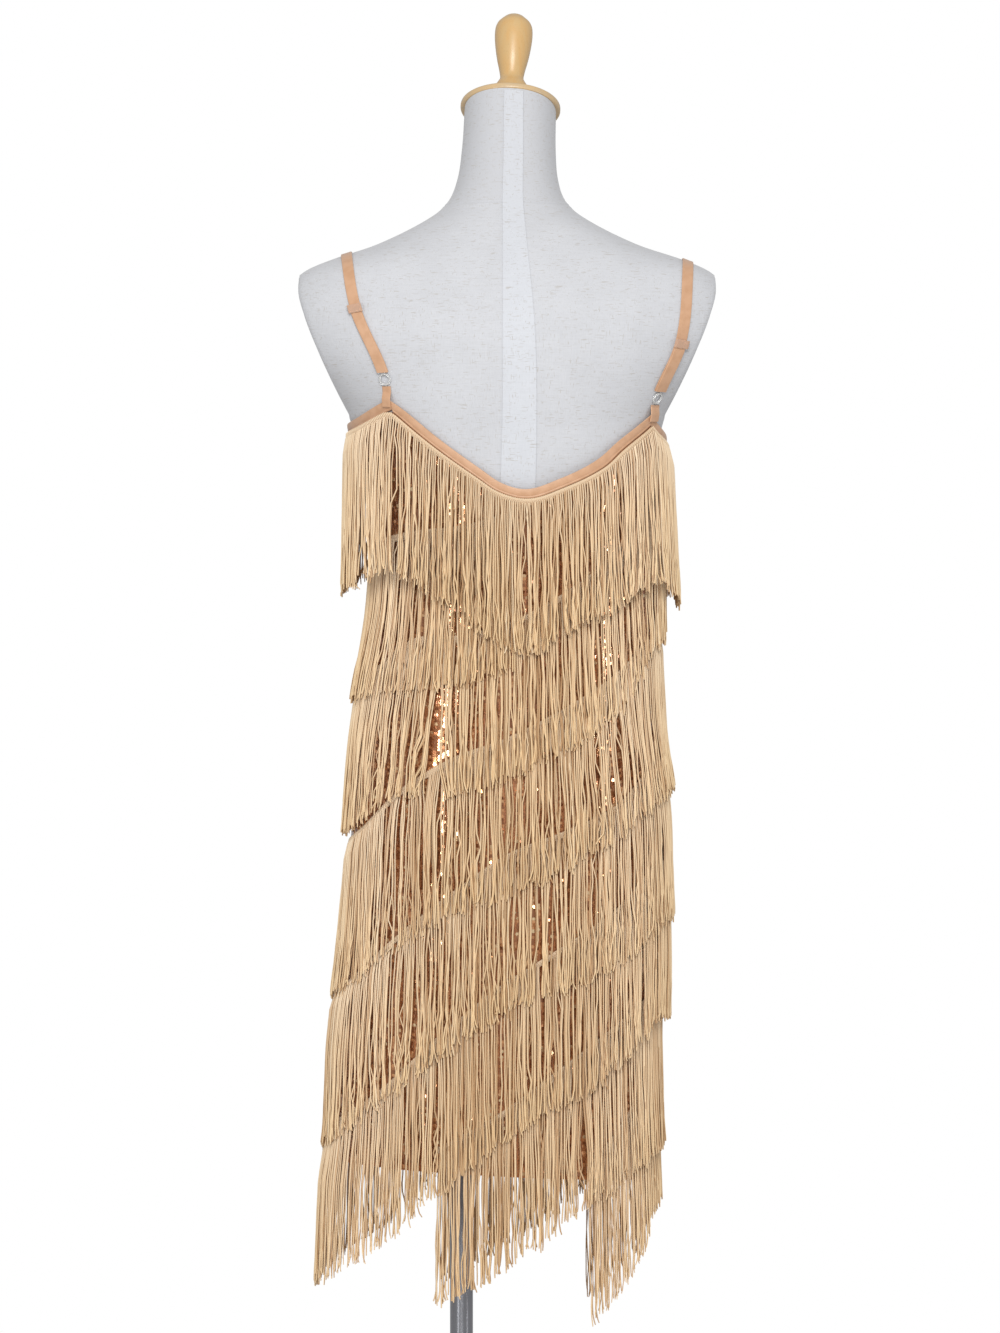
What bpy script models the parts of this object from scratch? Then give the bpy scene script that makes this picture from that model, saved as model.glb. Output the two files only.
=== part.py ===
"""A fringed flapper dress on a limbless dress form with a turned cap, a pole and a round base.

Metres, +Z up. The pole stands on the Z axis and the floor is Z = 0. The wearer's back faces -Y, the
wearer's left is -X. The body's own centre line stands to the right of the pole, and "across" is
measured from it.
"""

import math
from collections import namedtuple

import bmesh
import bpy
import numpy as np
from mathutils import Vector

for old in list(bpy.data.objects):
    bpy.data.objects.remove(old, do_unlink=True)

# The whole stand
BODY_X = 0.0437
SECTION_POWER = 2.15
TOUCH_GAP = 0.0003

# The dress
WALL = 0.0015
SEAM_SHARE = 0.0005
BINDING_WIDTH = 0.009
BINDING_PROUD = 0.0006
HEM_LEFT, HEM_RIGHT = 0.505, 0.481
BACK, FRONT = -1, 1

# The fringe
FRINGE_LENGTH = 0.150
HEADER_HEIGHT = 0.007
HEADER_CLEAR = 0.0014
HEADER_THICK = 0.0020
HEADER_DROP = 0.0020
LOCK_PITCH = 0.028
LOCK_SHARE = 0.80
LOCK_TAPER = 0.08
LOCK_THICK = 0.0018
LOCK_BEND = 0.014
LOCK_UNEVEN = 0.03

# The straps
STRAP_WIDTH = 0.0105
STRAP_THICK = 0.0012
STRAP_CLEAR = 0.0006
STRAP_LAYER_GAP = 0.0004
TAB_WIDTH = 0.0080
SEWN_RISE, SEWN_LIFT = 0.012, 0.0008
RING_RADIUS, RING_WIRE = 0.0052, 0.0011
SLIDER_WIDTH, SLIDER_HEIGHT, SLIDER_THICK = 0.0135, 0.0075, 0.0012

# The stand
POLE_RADIUS = 0.0110
BASE_RADIUS, BASE_RIM, BASE_CROWN, BASE_EDGE = 0.180, 0.009, 0.020, 0.002
COLLAR_RADIUS, COLLAR_HEIGHT = 0.020, 0.055
FLANGE_WIDTH, FLANGE_THICK = 0.006, 0.004
FORM_BOTTOM = 0.600
NECK_FOOT, NECK_TOP = 1.4195, 1.5070
NECK_TILT = math.radians(22)
NECK_ROLL = math.radians(2.5)
NECK_LEAN = 0.0032
CAP_RADIUS, CAP_THICK, CAP_CROWN, CAP_EDGE = 0.0482, 0.0065, 0.0025, 0.001
KNOB_LENGTH = 0.0945

Body = namedtuple("Body", "height half_width back front")
Sheath = namedtuple("Sheath", "height half_width shift back front")
Edge = namedtuple("Edge", "across height")
Tier = namedtuple("Tier", "start end heights lift_tops lift_ends cling")
Turned = namedtuple("Turned", "radius height")

# The padded form without arms: half its width and its depths to the back and to the front
FORM_SECTIONS = [
    Body(0.600, 0.1280, 0.084, 0.086),
    Body(0.607, 0.1345, 0.094, 0.094),
    Body(0.660, 0.1390, 0.101, 0.098),
    Body(0.730, 0.1440, 0.108, 0.101),
    Body(0.790, 0.1455, 0.111, 0.103),
    Body(0.850, 0.1435, 0.108, 0.101),
    Body(0.910, 0.1370, 0.099, 0.097),
    Body(0.970, 0.1280, 0.089, 0.094),
    Body(1.030, 0.1200, 0.083, 0.093),
    Body(1.080, 0.1190, 0.083, 0.099),
    Body(1.130, 0.1300, 0.088, 0.112),
    Body(1.165, 0.1430, 0.093, 0.119),
    Body(1.200, 0.1485, 0.096, 0.115),
    Body(1.216, 0.1540, 0.098, 0.112),
    Body(1.235, 0.1690, 0.099, 0.108),
    Body(1.269, 0.1990, 0.100, 0.100),
    Body(1.305, 0.2130, 0.096, 0.090),
    Body(1.333, 0.2080, 0.087, 0.079),
    Body(1.3504, 0.1940, 0.079, 0.070),
    Body(1.3620, 0.1670, 0.072, 0.063),
    Body(1.3734, 0.1320, 0.065, 0.057),
    Body(1.3850, 0.1056, 0.058, 0.055),
    Body(1.3965, 0.0840, 0.051, 0.057),
    Body(1.4080, 0.0665, 0.045, 0.060),
    Body(1.4195, 0.0560, 0.041, 0.062),
    Body(1.4387, 0.0487, 0.034, 0.062),
    Body(1.4680, 0.0452, 0.026, 0.066),
    Body(NECK_TOP, 0.0440, 0.019, 0.071),
]
# How far out the arm plates cut the form off
ARM_CUTS = [
    Edge(0.1500, 1.2102),
    Edge(0.1630, 1.2352),
    Edge(0.1786, 1.2688),
    Edge(0.1930, 1.3053),
    Edge(0.1995, 1.3330),
    Edge(0.1990, 1.3450),
]
# The outer face of the sheath: the shift moves its middle along X
SHEATH_SECTIONS = [
    Sheath(0.480, 0.1565, -0.0173, 0.119, 0.114),
    Sheath(0.527, 0.1534, -0.0151, 0.119, 0.114),
    Sheath(0.613, 0.1526, -0.0134, 0.118, 0.113),
    Sheath(0.707, 0.1525, -0.0043, 0.117, 0.112),
    Sheath(0.786, 0.1500, 0.0000, 0.117, 0.110),
    Sheath(0.835, 0.1490, 0.0010, 0.115, 0.109),
    Sheath(0.901, 0.1445, -0.0005, 0.109, 0.107),
    Sheath(0.956, 0.1410, 0.0020, 0.103, 0.105),
    Sheath(0.997, 0.1380, 0.0058, 0.098, 0.104),
    Sheath(1.036, 0.1360, 0.0077, 0.095, 0.105),
    Sheath(1.079, 0.1360, 0.0091, 0.094, 0.110),
    Sheath(1.112, 0.1387, 0.0082, 0.096, 0.119),
    Sheath(1.151, 0.1480, 0.0050, 0.098, 0.126),
    Sheath(1.190, 0.1520, 0.0012, 0.099, 0.123),
    Sheath(1.216, 0.1575, 0.0000, 0.101, 0.116),
    Sheath(1.240, 0.1765, 0.0000, 0.1025, 0.111),
]
# The garment's upper edge on each panel: left armhole, neckline and right armhole
TOP_EDGES = {
    BACK: (
        [Edge(-0.1510, 1.203), Edge(-0.1430, 1.209), Edge(-0.1130, 1.2246)],
        [
            Edge(-0.1130, 1.2246),
            Edge(-0.0630, 1.1855),
            Edge(-0.0255, 1.1583),
            Edge(-0.0067, 1.1455),
            Edge(0.0170, 1.1390),
            Edge(0.0497, 1.1489),
            Edge(0.0873, 1.1686),
            Edge(0.1060, 1.1855),
            Edge(0.1380, 1.2115),
        ],
        [Edge(0.1380, 1.2115), Edge(0.1440, 1.203), Edge(0.1512, 1.190)],
    ),
    FRONT: (
        [Edge(-0.1510, 1.203), Edge(-0.1440, 1.211), Edge(-0.1180, 1.2340)],
        [
            Edge(-0.1180, 1.2340),
            Edge(-0.0600, 1.1930),
            Edge(0.0000, 1.1660),
            Edge(0.0600, 1.1930),
            Edge(0.1180, 1.2340),
        ],
        [Edge(0.1180, 1.2340), Edge(0.1440, 1.206), Edge(0.1512, 1.190)],
    ),
}
# Fringe headers below the first, from the left seam (0) to the right seam (1) of a panel: header
# heights at even steps between start and end, how far the locks stand off the cloth just below the
# header and at their ends near the left and right seams, and how much they follow the cloth inward
TIERS = {
    2: Tier(
        0.0,
        0.49,
        (1.0900, 1.0940, 1.1010, 1.1050, 1.1180),
        (0.0018, 0.0018),
        (0.0050, 0.0066),
        0.7,
    ),
    3: Tier(
        0.0,
        1.0,
        (0.9660, 0.9780, 1.0030, 1.0020, 1.0160, 1.0430, 1.0810, 1.1380, 1.1550),
        (0.0018, 0.0018),
        (0.0100, 0.0036),
        0.8,
    ),
    4: Tier(
        0.0,
        1.0,
        (0.8040, 0.8190, 0.8570, 0.8860, 0.9050, 0.9310, 0.9610, 0.9960, 1.0050),
        (0.0045, 0.0018),
        (0.0085, 0.0080),
        0.5,
    ),
    5: Tier(
        0.0,
        1.0,
        (0.6590, 0.6750, 0.7155, 0.7580, 0.7960, 0.8170, 0.8400, 0.8760, 0.8850),
        (0.0045, 0.0018),
        (0.0085, 0.0070),
        0.5,
    ),
    6: Tier(
        0.0,
        1.0,
        (0.5320, 0.5450, 0.5740, 0.6230, 0.6710, 0.7070, 0.7410, 0.7820, 0.7880),
        (0.0030, 0.0018),
        (0.0085, 0.0070),
        0.5,
    ),
    7: Tier(
        0.385,
        1.0,
        (0.5200, 0.5500, 0.5880, 0.6250, 0.6570, 0.6680),
        (0.0036, 0.0036),
        (0.0080, 0.0080),
        0.5,
    ),
    8: Tier(
        0.715,
        1.0,
        (0.5010, 0.5300, 0.5640, 0.6050, 0.6160),
        (0.0018, 0.0018),
        (0.0050, 0.0050),
        0.5,
    ),
}
FIRST_TIER_LIFTS = ((0.0048, 0.0048), (0.0058, 0.0085, 0.0110, 0.0112, 0.0112), 0.0)
FIRST_HEADER_CLEAR = 0.0019

KNOB_PROFILE = [
    Turned(0.0200, 0.000),
    Turned(0.0192, 0.007),
    Turned(0.0157, 0.017),
    Turned(0.0113, 0.0265),
    Turned(0.0120, 0.032),
    Turned(0.0152, 0.047),
    Turned(0.0174, 0.061),
    Turned(0.0183, 0.073),
    Turned(0.0162, 0.085),
    Turned(0.0100, 0.0918),
]

# Where each strap lies: the foot of its tab, its ring, its slider, how far out it crosses the
# shoulder, and its end at the front
Strap = namedtuple("Strap", "side tab ring slider top front")
STRAPS = [
    Strap(
        side="left",
        tab=Edge(-0.1128, 1.2180),
        ring=Edge(-0.1152, 1.2438),
        slider=Edge(-0.1430, 1.3100),
        top=-0.1536,
        front=Edge(-0.1180, 1.2270),
    ),
    Strap(
        side="right",
        tab=Edge(0.1378, 1.2050),
        ring=Edge(0.1421, 1.2276),
        slider=Edge(0.1640, 1.2784),
        top=0.1728,
        front=Edge(0.1180, 1.2270),
    ),
]


def smooth(xs, ys):
    """A cubic through the given points that never overshoots them."""
    xs, ys = np.array(xs, float), np.array(ys, float)
    steps = np.diff(xs)
    slopes = np.diff(ys) / steps
    inner = np.where(slopes[:-1] * slopes[1:] > 0, (slopes[:-1] + slopes[1:]) / 2, 0)
    tangents = np.concatenate(([slopes[0]], inner, [slopes[-1]]))

    def value(x):
        x = min(max(x, xs[0]), xs[-1])
        i = min(max(int(np.searchsorted(xs, x)) - 1, 0), len(steps) - 1)
        t = (x - xs[i]) / steps[i]
        start = ys[i] * (1 + 2 * t) * (1 - t) ** 2 + steps[i] * tangents[i] * t * (1 - t) ** 2
        end = ys[i + 1] * t * t * (3 - 2 * t) - steps[i] * tangents[i + 1] * t * t * (1 - t)
        return float(start + end)

    return value


def column(rows, name):
    return smooth([row.height for row in rows], [getattr(row, name) for row in rows])


form_width, form_back, form_front = (column(FORM_SECTIONS, c) for c in ("half_width", "back", "front"))
arm_cut = column(ARM_CUTS, "across")
sheath_width, sheath_shift, sheath_back, sheath_front = (
    column(SHEATH_SECTIONS, c) for c in ("half_width", "shift", "back", "front")
)


def powered(value):
    """The sine or cosine of a rounded section that is a little squarer than an ellipse."""
    return math.copysign(abs(value) ** (2 / SECTION_POWER), value)


def arc_table():
    """Angles along half a typical section of the sheath, and the share of its length up to each."""
    angles = np.linspace(0, math.pi, 400)
    width, depth = sheath_width(0.85), (sheath_back(0.85) + sheath_front(0.85)) / 2
    x = [-width * powered(math.cos(a)) for a in angles]
    y = [depth * powered(math.sin(a)) for a in angles]
    lengths = np.concatenate(([0], np.cumsum(np.hypot(np.diff(x), np.diff(y)))))
    return angles, lengths / lengths[-1], lengths[-1]


ARC_ANGLES, ARC_SHARES, PANEL_WIDTH = arc_table()


def dress_point(side, share, height, out=0.0):
    """A point of the sheath, by its share of the way from the left seam to the right seam."""
    angle = float(np.interp(share, ARC_SHARES, ARC_ANGLES))
    back, front = sheath_back(height), sheath_front(height)
    x = BODY_X + sheath_shift(height) - (sheath_width(height) + out) * powered(math.cos(angle))
    y = (front - back) / 2 + side * ((front + back) / 2 + out) * powered(math.sin(angle))
    return np.array((x, y, height))


def dress_outward(side, share, height):
    """The level direction that points straight away from the cloth."""
    step = 1e-3
    before = dress_point(side, max(share - step, 0), height)
    after = dress_point(side, min(share + step, 1), height)
    along = (after - before) / np.linalg.norm(after - before)
    return np.array((-side * along[1], side * along[0], 0)) / math.hypot(along[0], along[1])


def share_at(across, height):
    """The share of the way along a panel where the cloth stands at this distance from the middle."""
    reach = (across - sheath_shift(height)) / sheath_width(height)
    reach = min(max(reach, -1), 1)
    angle = math.acos(-math.copysign(abs(reach) ** (SECTION_POWER / 2), reach))
    return float(np.interp(angle, ARC_ANGLES, ARC_SHARES))


def edge_pieces(side):
    """The three curves of a panel's upper edge, each as its first share, last share and height."""
    pieces = []
    for rows in TOP_EDGES[side]:
        shares = [share_at(row.across, row.height) for row in rows]
        if rows is TOP_EDGES[side][0]:
            shares[0] = 0.0
        if rows is TOP_EDGES[side][2]:
            shares[-1] = 1.0
        pieces.append((shares[0], shares[-1], smooth(shares, [row.height for row in rows])))
    return pieces


EDGE_PIECES = {side: edge_pieces(side) for side in (BACK, FRONT)}
EDGE_STEPS = {BACK: (5, 11, 3), FRONT: (4, 10, 4)}


def binding_reach(piece, share, step=0.01, steepest=1.2):
    """How far down the binding reaches, so that it is as wide on a slope as on a level run."""
    first, last, height = piece
    low, high = max(share - step, first), min(share + step, last)
    slope = (height(high) - height(low)) / ((high - low) * PANEL_WIDTH)
    return BINDING_WIDTH * math.hypot(1, min(abs(slope), steepest))


def edge_columns(side):
    """Shares along a panel, every corner of its edge among them, with the edge and the binding's foot."""
    rows = []
    for piece, count in zip(EDGE_PIECES[side], EDGE_STEPS[side]):
        first, last, height = piece
        for share in np.linspace(first, last, count + 1):
            top = height(share)
            low = top - binding_reach(piece, share)
            if rows and share - rows[-1][0] < SEAM_SHARE:
                rows[-1] = (rows[-1][0], top, min(low, rows[-1][2]))
            else:
                rows.append((share, top, low))
    return tuple(np.array(values) for values in zip(*rows))


COLUMNS = {side: edge_columns(side) for side in (BACK, FRONT)}


def top_height(side, share):
    shares, tops, _ = COLUMNS[side]
    return float(np.interp(share, shares, tops))


def binding_foot(side, share):
    shares, _, lows = COLUMNS[side]
    return float(np.interp(share, shares, lows))


def hem_height(share):
    return HEM_LEFT + (HEM_RIGHT - HEM_LEFT) * share


def material(name, colour, roughness, metallic=0.0, alpha=1.0):
    made = bpy.data.materials.get(name)
    if made:
        return made
    made = bpy.data.materials.new(name)
    made.use_nodes = True
    made.diffuse_color = (*colour, alpha)
    surface = made.node_tree.nodes["Principled BSDF"]
    surface.inputs["Base Color"].default_value = (*colour, 1)
    surface.inputs["Roughness"].default_value = roughness
    surface.inputs["Metallic"].default_value = metallic
    surface.inputs["Alpha"].default_value = alpha
    return made


LINEN = material("linen", (0.66, 0.67, 0.70), 0.85)
BEECH = material("turned_beech", (0.74, 0.50, 0.24), 0.42)
STEEL = material("polished_steel", (0.55, 0.56, 0.60), 0.18, metallic=1.0)
IRON = material("painted_iron", (0.10, 0.10, 0.11), 0.45)
SEQUIN_CLOTH = material("sequin_cloth", (0.40, 0.17, 0.06), 0.35, metallic=0.3)
TAPE = material("satin_tape", (0.76, 0.41, 0.21), 0.5)
FRINGE = material("rayon_fringe", (0.66, 0.46, 0.24), 0.6)
CLEAR = material("clear_plastic", (0.85, 0.87, 0.88), 0.1, alpha=0.5)


def finish(name, bm, surface, smooth_below=35):
    """Makes the named object of a closed mesh, smooth but for edges past an angle in degrees."""
    bmesh.ops.recalc_face_normals(bm, faces=bm.faces)
    mesh = bpy.data.meshes.new(name)
    bm.to_mesh(mesh)
    bm.free()
    mesh.materials.append(surface)
    mesh.shade_smooth()
    mesh.set_sharp_from_angle(angle=math.radians(smooth_below))
    bpy.context.scene.collection.objects.link(bpy.data.objects.new(name, mesh))


def rings_solid(name, rings, surface, smooth_below=35):
    """A closed solid through rings with the same number of points, capped at both ends."""
    bm = bmesh.new()
    loops = [[bm.verts.new(p) for p in ring] for ring in rings]
    for lower, upper in zip(loops, loops[1:]):
        for i in range(len(lower)):
            j = (i + 1) % len(lower)
            bm.faces.new((lower[i], lower[j], upper[j], upper[i]))
    bm.faces.new(loops[0])
    bm.faces.new(loops[-1])
    finish(name, bm, surface, smooth_below)


def wall(name, outer, inner, surface):
    """A closed wall between two grids of points, rows by columns."""
    bm = bmesh.new()
    faces = [[[bm.verts.new(p) for p in row] for row in grid] for grid in (outer, inner)]
    rows, columns = len(outer), len(outer[0])
    for grid in faces:
        for r in range(rows - 1):
            for c in range(columns - 1):
                bm.faces.new((grid[r][c], grid[r][c + 1], grid[r + 1][c + 1], grid[r + 1][c]))
    rim = [(0, c) for c in range(columns)]
    rim += [(r, columns - 1) for r in range(1, rows)]
    rim += [(rows - 1, c) for c in range(columns - 2, -1, -1)]
    rim += [(r, 0) for r in range(rows - 2, 0, -1)]
    for (r, c), (r2, c2) in zip(rim, rim[1:] + rim[:1]):
        bm.faces.new((faces[0][r][c], faces[0][r2][c2], faces[1][r2][c2], faces[1][r][c]))
    finish(name, bm, surface)


def turned(name, profile, sides, surface, place=None):
    """A solid turned about +Z from rows of radius and height, set down by a function of its points."""
    place = place or (lambda p: p)
    rings = []
    for row in profile:
        ring = []
        for k in range(sides):
            angle = 2 * math.pi * k / sides
            ring.append(place((row.radius * math.cos(angle), row.radius * math.sin(angle), row.height)))
        rings.append(ring)
    rings_solid(name, rings, surface)


# The dress form


def form_depths(height):
    """The middle and half the depth of the form's section."""
    back, front = form_back(height), form_front(height)
    return (front - back) / 2, (front + back) / 2


def neck_share(height):
    return min(max((height - NECK_FOOT) / (NECK_TOP - NECK_FOOT), 0), 1)


def neck_slope(height, x, y):
    """How far a point of the neck stands above its section, which tilts more and more to the top."""
    return -(y * math.tan(NECK_TILT) + x * math.tan(NECK_ROLL)) * neck_share(height)


def form_ring(height, sides=36):
    middle, depth = form_depths(height)
    width = form_width(height)
    cut = arm_cut(height) if ARM_CUTS[0].height < height < ARM_CUTS[-1].height else width
    ring = []
    for k in range(sides):
        angle = 2 * math.pi * k / sides
        x = min(max(width * powered(math.cos(angle)), -cut), cut)
        y = depth * powered(math.sin(angle))
        lean = NECK_LEAN * neck_share(height)
        ring.append((BODY_X + lean + x, middle + y, height + neck_slope(height, x, y)))
    return ring


def form_torso():
    rings_solid("form_torso", [form_ring(row.height) for row in FORM_SECTIONS], LINEN, 50)


def on_neck(point):
    """Sets a piece turned about +Z on the tilted top of the neck."""
    middle, _ = form_depths(NECK_TOP)
    x, y, z = point
    seat = Vector((BODY_X + NECK_LEAN, middle, NECK_TOP))
    across = Vector((1, 0, -math.tan(NECK_ROLL))).normalized()
    up = across.cross(Vector((0, 1, -math.tan(NECK_TILT)))).normalized()
    return seat + across * x + up.cross(across) * y + up * (z + TOUCH_GAP)


def cap_and_knob():
    cap = [
        Turned(CAP_RADIUS - CAP_EDGE, 0.0),
        Turned(CAP_RADIUS, CAP_EDGE),
        Turned(CAP_RADIUS, CAP_THICK - CAP_EDGE),
        Turned(CAP_RADIUS - CAP_EDGE, CAP_THICK),
        Turned(CAP_RADIUS * 0.62, CAP_THICK + CAP_CROWN * 0.9),
        Turned(CAP_RADIUS * 0.42, CAP_THICK + CAP_CROWN),
    ]
    turned("form_neck_cap", cap, 32, BEECH, on_neck)
    seat = CAP_THICK + CAP_CROWN + TOUCH_GAP
    knob = [Turned(row.radius, seat + row.height) for row in KNOB_PROFILE]
    knob.append(Turned(0.004, seat + KNOB_LENGTH))
    turned("form_knob", knob, 24, BEECH, on_neck)


def stand():
    plate = [
        Turned(BASE_RADIUS - BASE_EDGE, 0.0),
        Turned(BASE_RADIUS, BASE_EDGE),
        Turned(BASE_RADIUS, BASE_RIM - BASE_EDGE),
        Turned(BASE_RADIUS - 3 * BASE_EDGE, BASE_RIM),
        Turned(BASE_RADIUS / 3, BASE_CROWN * 0.8),
        Turned(BASE_RADIUS * 0.16, BASE_CROWN),
    ]
    turned("stand_base", plate, 40, IRON)
    pole = [Turned(POLE_RADIUS, BASE_CROWN + TOUCH_GAP), Turned(POLE_RADIUS, FORM_BOTTOM - TOUCH_GAP)]
    turned("stand_pole", pole, 24, STEEL)
    collar()


def collar(sides=24):
    """The socket round the pole's foot, open through its middle."""
    bore, flange = POLE_RADIUS + TOUCH_GAP, COLLAR_RADIUS + FLANGE_WIDTH
    sleeve = COLLAR_RADIUS - FLANGE_THICK
    bottom, top = BASE_CROWN + TOUCH_GAP, BASE_CROWN + COLLAR_HEIGHT
    section = [(bore, bottom), (flange, bottom), (flange, bottom + FLANGE_THICK)]
    section += [(sleeve, bottom + FLANGE_THICK + FLANGE_WIDTH), (sleeve, top), (bore, top)]
    bm = bmesh.new()
    loops = []
    for k in range(sides):
        angle = 2 * math.pi * k / sides
        loops.append([bm.verts.new((r * math.cos(angle), r * math.sin(angle), z)) for r, z in section])
    for k in range(sides):
        here, there = loops[k], loops[(k + 1) % sides]
        for i in range(len(section)):
            j = (i + 1) % len(section)
            bm.faces.new((here[i], there[i], there[j], here[j]))
    finish("stand_collar", bm, STEEL)


# The sheath and its bindings


def panel_shares(side):
    shares = list(COLUMNS[side][0])
    shares[0], shares[-1] = SEAM_SHARE, 1 - SEAM_SHARE
    return shares


def panel_levels(side, share):
    """The heights of a panel's points down one column: even steps from its edge, then the sections."""
    top = binding_foot(side, share) - TOUCH_GAP
    sections = sorted((row.height for row in SHEATH_SECTIONS[1:12]), reverse=True)
    levels = [top + (sections[0] - top) * step / 3 for step in range(3)]
    return levels + sections + [hem_height(share)]


def panel(name, side):
    shares = panel_shares(side)
    rows = list(zip(*(panel_levels(side, share) for share in shares)))
    grids = []
    for out in (0.0, -WALL):
        grids.append([[dress_point(side, s, z, out) for s, z in zip(shares, row)] for row in rows])
    wall(name, grids[0], grids[1], SEQUIN_CLOTH)


def band_points(side, shares, out):
    """Lower and upper edge of a binding along some shares of a panel."""
    lower = [dress_point(side, share, binding_foot(side, share), out) for share in shares]
    upper = [dress_point(side, share, top_height(side, share), out) for share in shares]
    return lower, upper


def piece_shares(side, piece, trim_first, trim_last):
    """The panel's own columns along one piece of its edge, cut short by a seam's width at corners."""
    first, last, _ = EDGE_PIECES[side][piece]
    shares = [s for s in COLUMNS[side][0] if first - SEAM_SHARE < s < last + SEAM_SHARE]
    shares[0] += SEAM_SHARE * trim_first
    shares[-1] -= SEAM_SHARE * trim_last
    return shares


def neck_binding(name, side):
    shares = piece_shares(side, 1, 1, 1)
    wall(name, *(band_points(side, shares, out) for out in (BINDING_PROUD, -WALL)), TAPE)


def arm_binding(name, piece):
    """The binding of one armhole, from the back panel round the side seam to the front panel."""
    trims = (0, 1) if piece == 0 else (1, 0)
    back, front = (piece_shares(side, piece, *trims) for side in (BACK, FRONT))
    if piece == 0:
        back = back[::-1]
    else:
        front = front[::-1]
    grids = []
    for out in (BINDING_PROUD, -WALL):
        back_low, back_high = band_points(BACK, back, out)
        front_low, front_high = band_points(FRONT, front, out)
        grids.append((back_low + front_low[1:], back_high + front_high[1:]))
    wall(name, grids[0], grids[1], TAPE)


# The fringe


def header_height(tier, side, share):
    """The upper edge of a tier's header at a share of the panel."""
    if tier == 1:
        return binding_foot(side, share) - HEADER_DROP
    row = TIERS[tier]
    steps = np.linspace(row.start, row.end, len(row.heights))
    return smooth(steps, row.heights)(share)


def hang_point(side, share, root, depth, out, cling):
    """A point of the fringe below its root: it hangs plumb, and the cloth below can push it out."""
    start = dress_point(side, share, root)
    away = dress_outward(side, share, root)
    reach = farthest = 0.0
    for step in range(1, 9):
        level = dress_point(side, share, root - depth * step / 8)
        reach = float(np.dot(level - start, away))
        farthest = max(farthest, reach)
    hang = farthest + cling * (reach - farthest)
    point = start + away * (hang + out)
    point[2] = root - depth
    return point


def even_steps(values, share):
    """A value at a share of a panel, between values at even steps from seam to seam."""
    return float(np.interp(share, np.linspace(0, 1, len(values)), values))


def tier_range(tier):
    return (0.0, 1.0) if tier == 1 else (TIERS[tier].start, TIERS[tier].end)


def tier_lifts(tier):
    if tier == 1:
        return FIRST_TIER_LIFTS
    row = TIERS[tier]
    return row.lift_tops, row.lift_ends, row.cling


def fringe(tier, side):
    """One tier on one panel: a narrow header with its locks standing apart below it."""
    start, end = tier_range(tier)
    lift_tops, lift_ends, cling = tier_lifts(tier)
    count = max(3, round((end - start) * PANEL_WIDTH / LOCK_PITCH))
    pitch = (end - start) / count
    gap = (1 - LOCK_SHARE) * pitch / 2
    shares = []
    for k in range(count):
        shares += [start + k * pitch + gap, start + (k + 1) * pitch - gap]
    bm = bmesh.new()
    stations = []
    for share in shares:
        top = header_height(tier, side, share)
        low = top - HEADER_HEIGHT
        inner = FIRST_HEADER_CLEAR if tier == 1 else HEADER_CLEAR
        outer = inner + HEADER_THICK
        places = [(top, outer), (top, inner), (low, inner), (low, outer)]
        stations.append([bm.verts.new(dress_point(side, share, z, out)) for z, out in places])
    bm.faces.new(stations[0])
    bm.faces.new(stations[-1])
    for i, (here, there) in enumerate(zip(stations, stations[1:])):
        for a, b in ((0, 1), (1, 2), (3, 0)):
            bm.faces.new((here[a], here[b], there[b], there[a]))
        if i % 2:
            bm.faces.new((here[2], here[3], there[3], there[2]))
            continue
        lock = i // 2
        length = FRINGE_LENGTH * (1 + LOCK_UNEVEN * math.sin(2.4 * lock + 1.7 * tier))
        narrow = LOCK_TAPER * (shares[i + 1] - shares[i])
        loop = [here[2], here[3], there[3], there[2]]
        lift_top, lift_end = (even_steps(lifts, shares[i]) for lifts in (lift_tops, lift_ends))
        for depth, lift, inset in ((LOCK_BEND, lift_top, 0.3), (length - HEADER_HEIGHT, lift_end, 1.0)):
            below = []
            for share, shift, out in (
                (shares[i], narrow, 0),
                (shares[i], narrow, LOCK_THICK),
                (shares[i + 1], -narrow, LOCK_THICK),
                (shares[i + 1], -narrow, 0),
            ):
                at = share + shift * inset
                root = header_height(tier, side, at) - HEADER_HEIGHT
                below.append(bm.verts.new(hang_point(side, at, root, depth, lift + out, cling)))
            for k in range(4):
                m = (k + 1) % 4
                bm.faces.new((loop[k], loop[m], below[m], below[k]))
            loop = below
        bm.faces.new(loop)
    side_name = "back" if side == BACK else "front"
    finish(f"fringe_{tier}_{side_name}", bm, FRINGE)


# The straps


def ridge_height(across):
    """The height of the shoulder's ridge at a distance from the middle."""
    heights = np.linspace(1.3330, 1.4080, 120)
    widths = [form_width(h) for h in heights]
    return float(np.interp(-abs(across), [-w for w in widths], heights))


def form_surface(across, height, side):
    middle, depth = form_depths(height)
    reach = min(abs(across) / form_width(height), 1.0)
    return middle + side * depth * (1 - reach**SECTION_POWER) ** (1 / SECTION_POWER)


def seated(point, strap, across, height, side):
    """Moves a strap's point from the form out onto the binding where the strap is sewn to it."""
    peak = top_height(side, share_at(strap.front.across if side == FRONT else strap.tab.across, height))
    share = min(max((peak + SEWN_RISE - height) / SEWN_RISE, 0), 1)
    share = share * share * (3 - 2 * share)
    on_dress = dress_point(side, share_at(across, height), height, BINDING_PROUD + SEWN_LIFT)
    return point + (on_dress - point) * share


def turn_at(strap, height):
    """Where along the back of a strap a height lies."""
    top = ridge_height(strap.top)
    return -math.sqrt((top - height) / (top - strap.ring.height))


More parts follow.
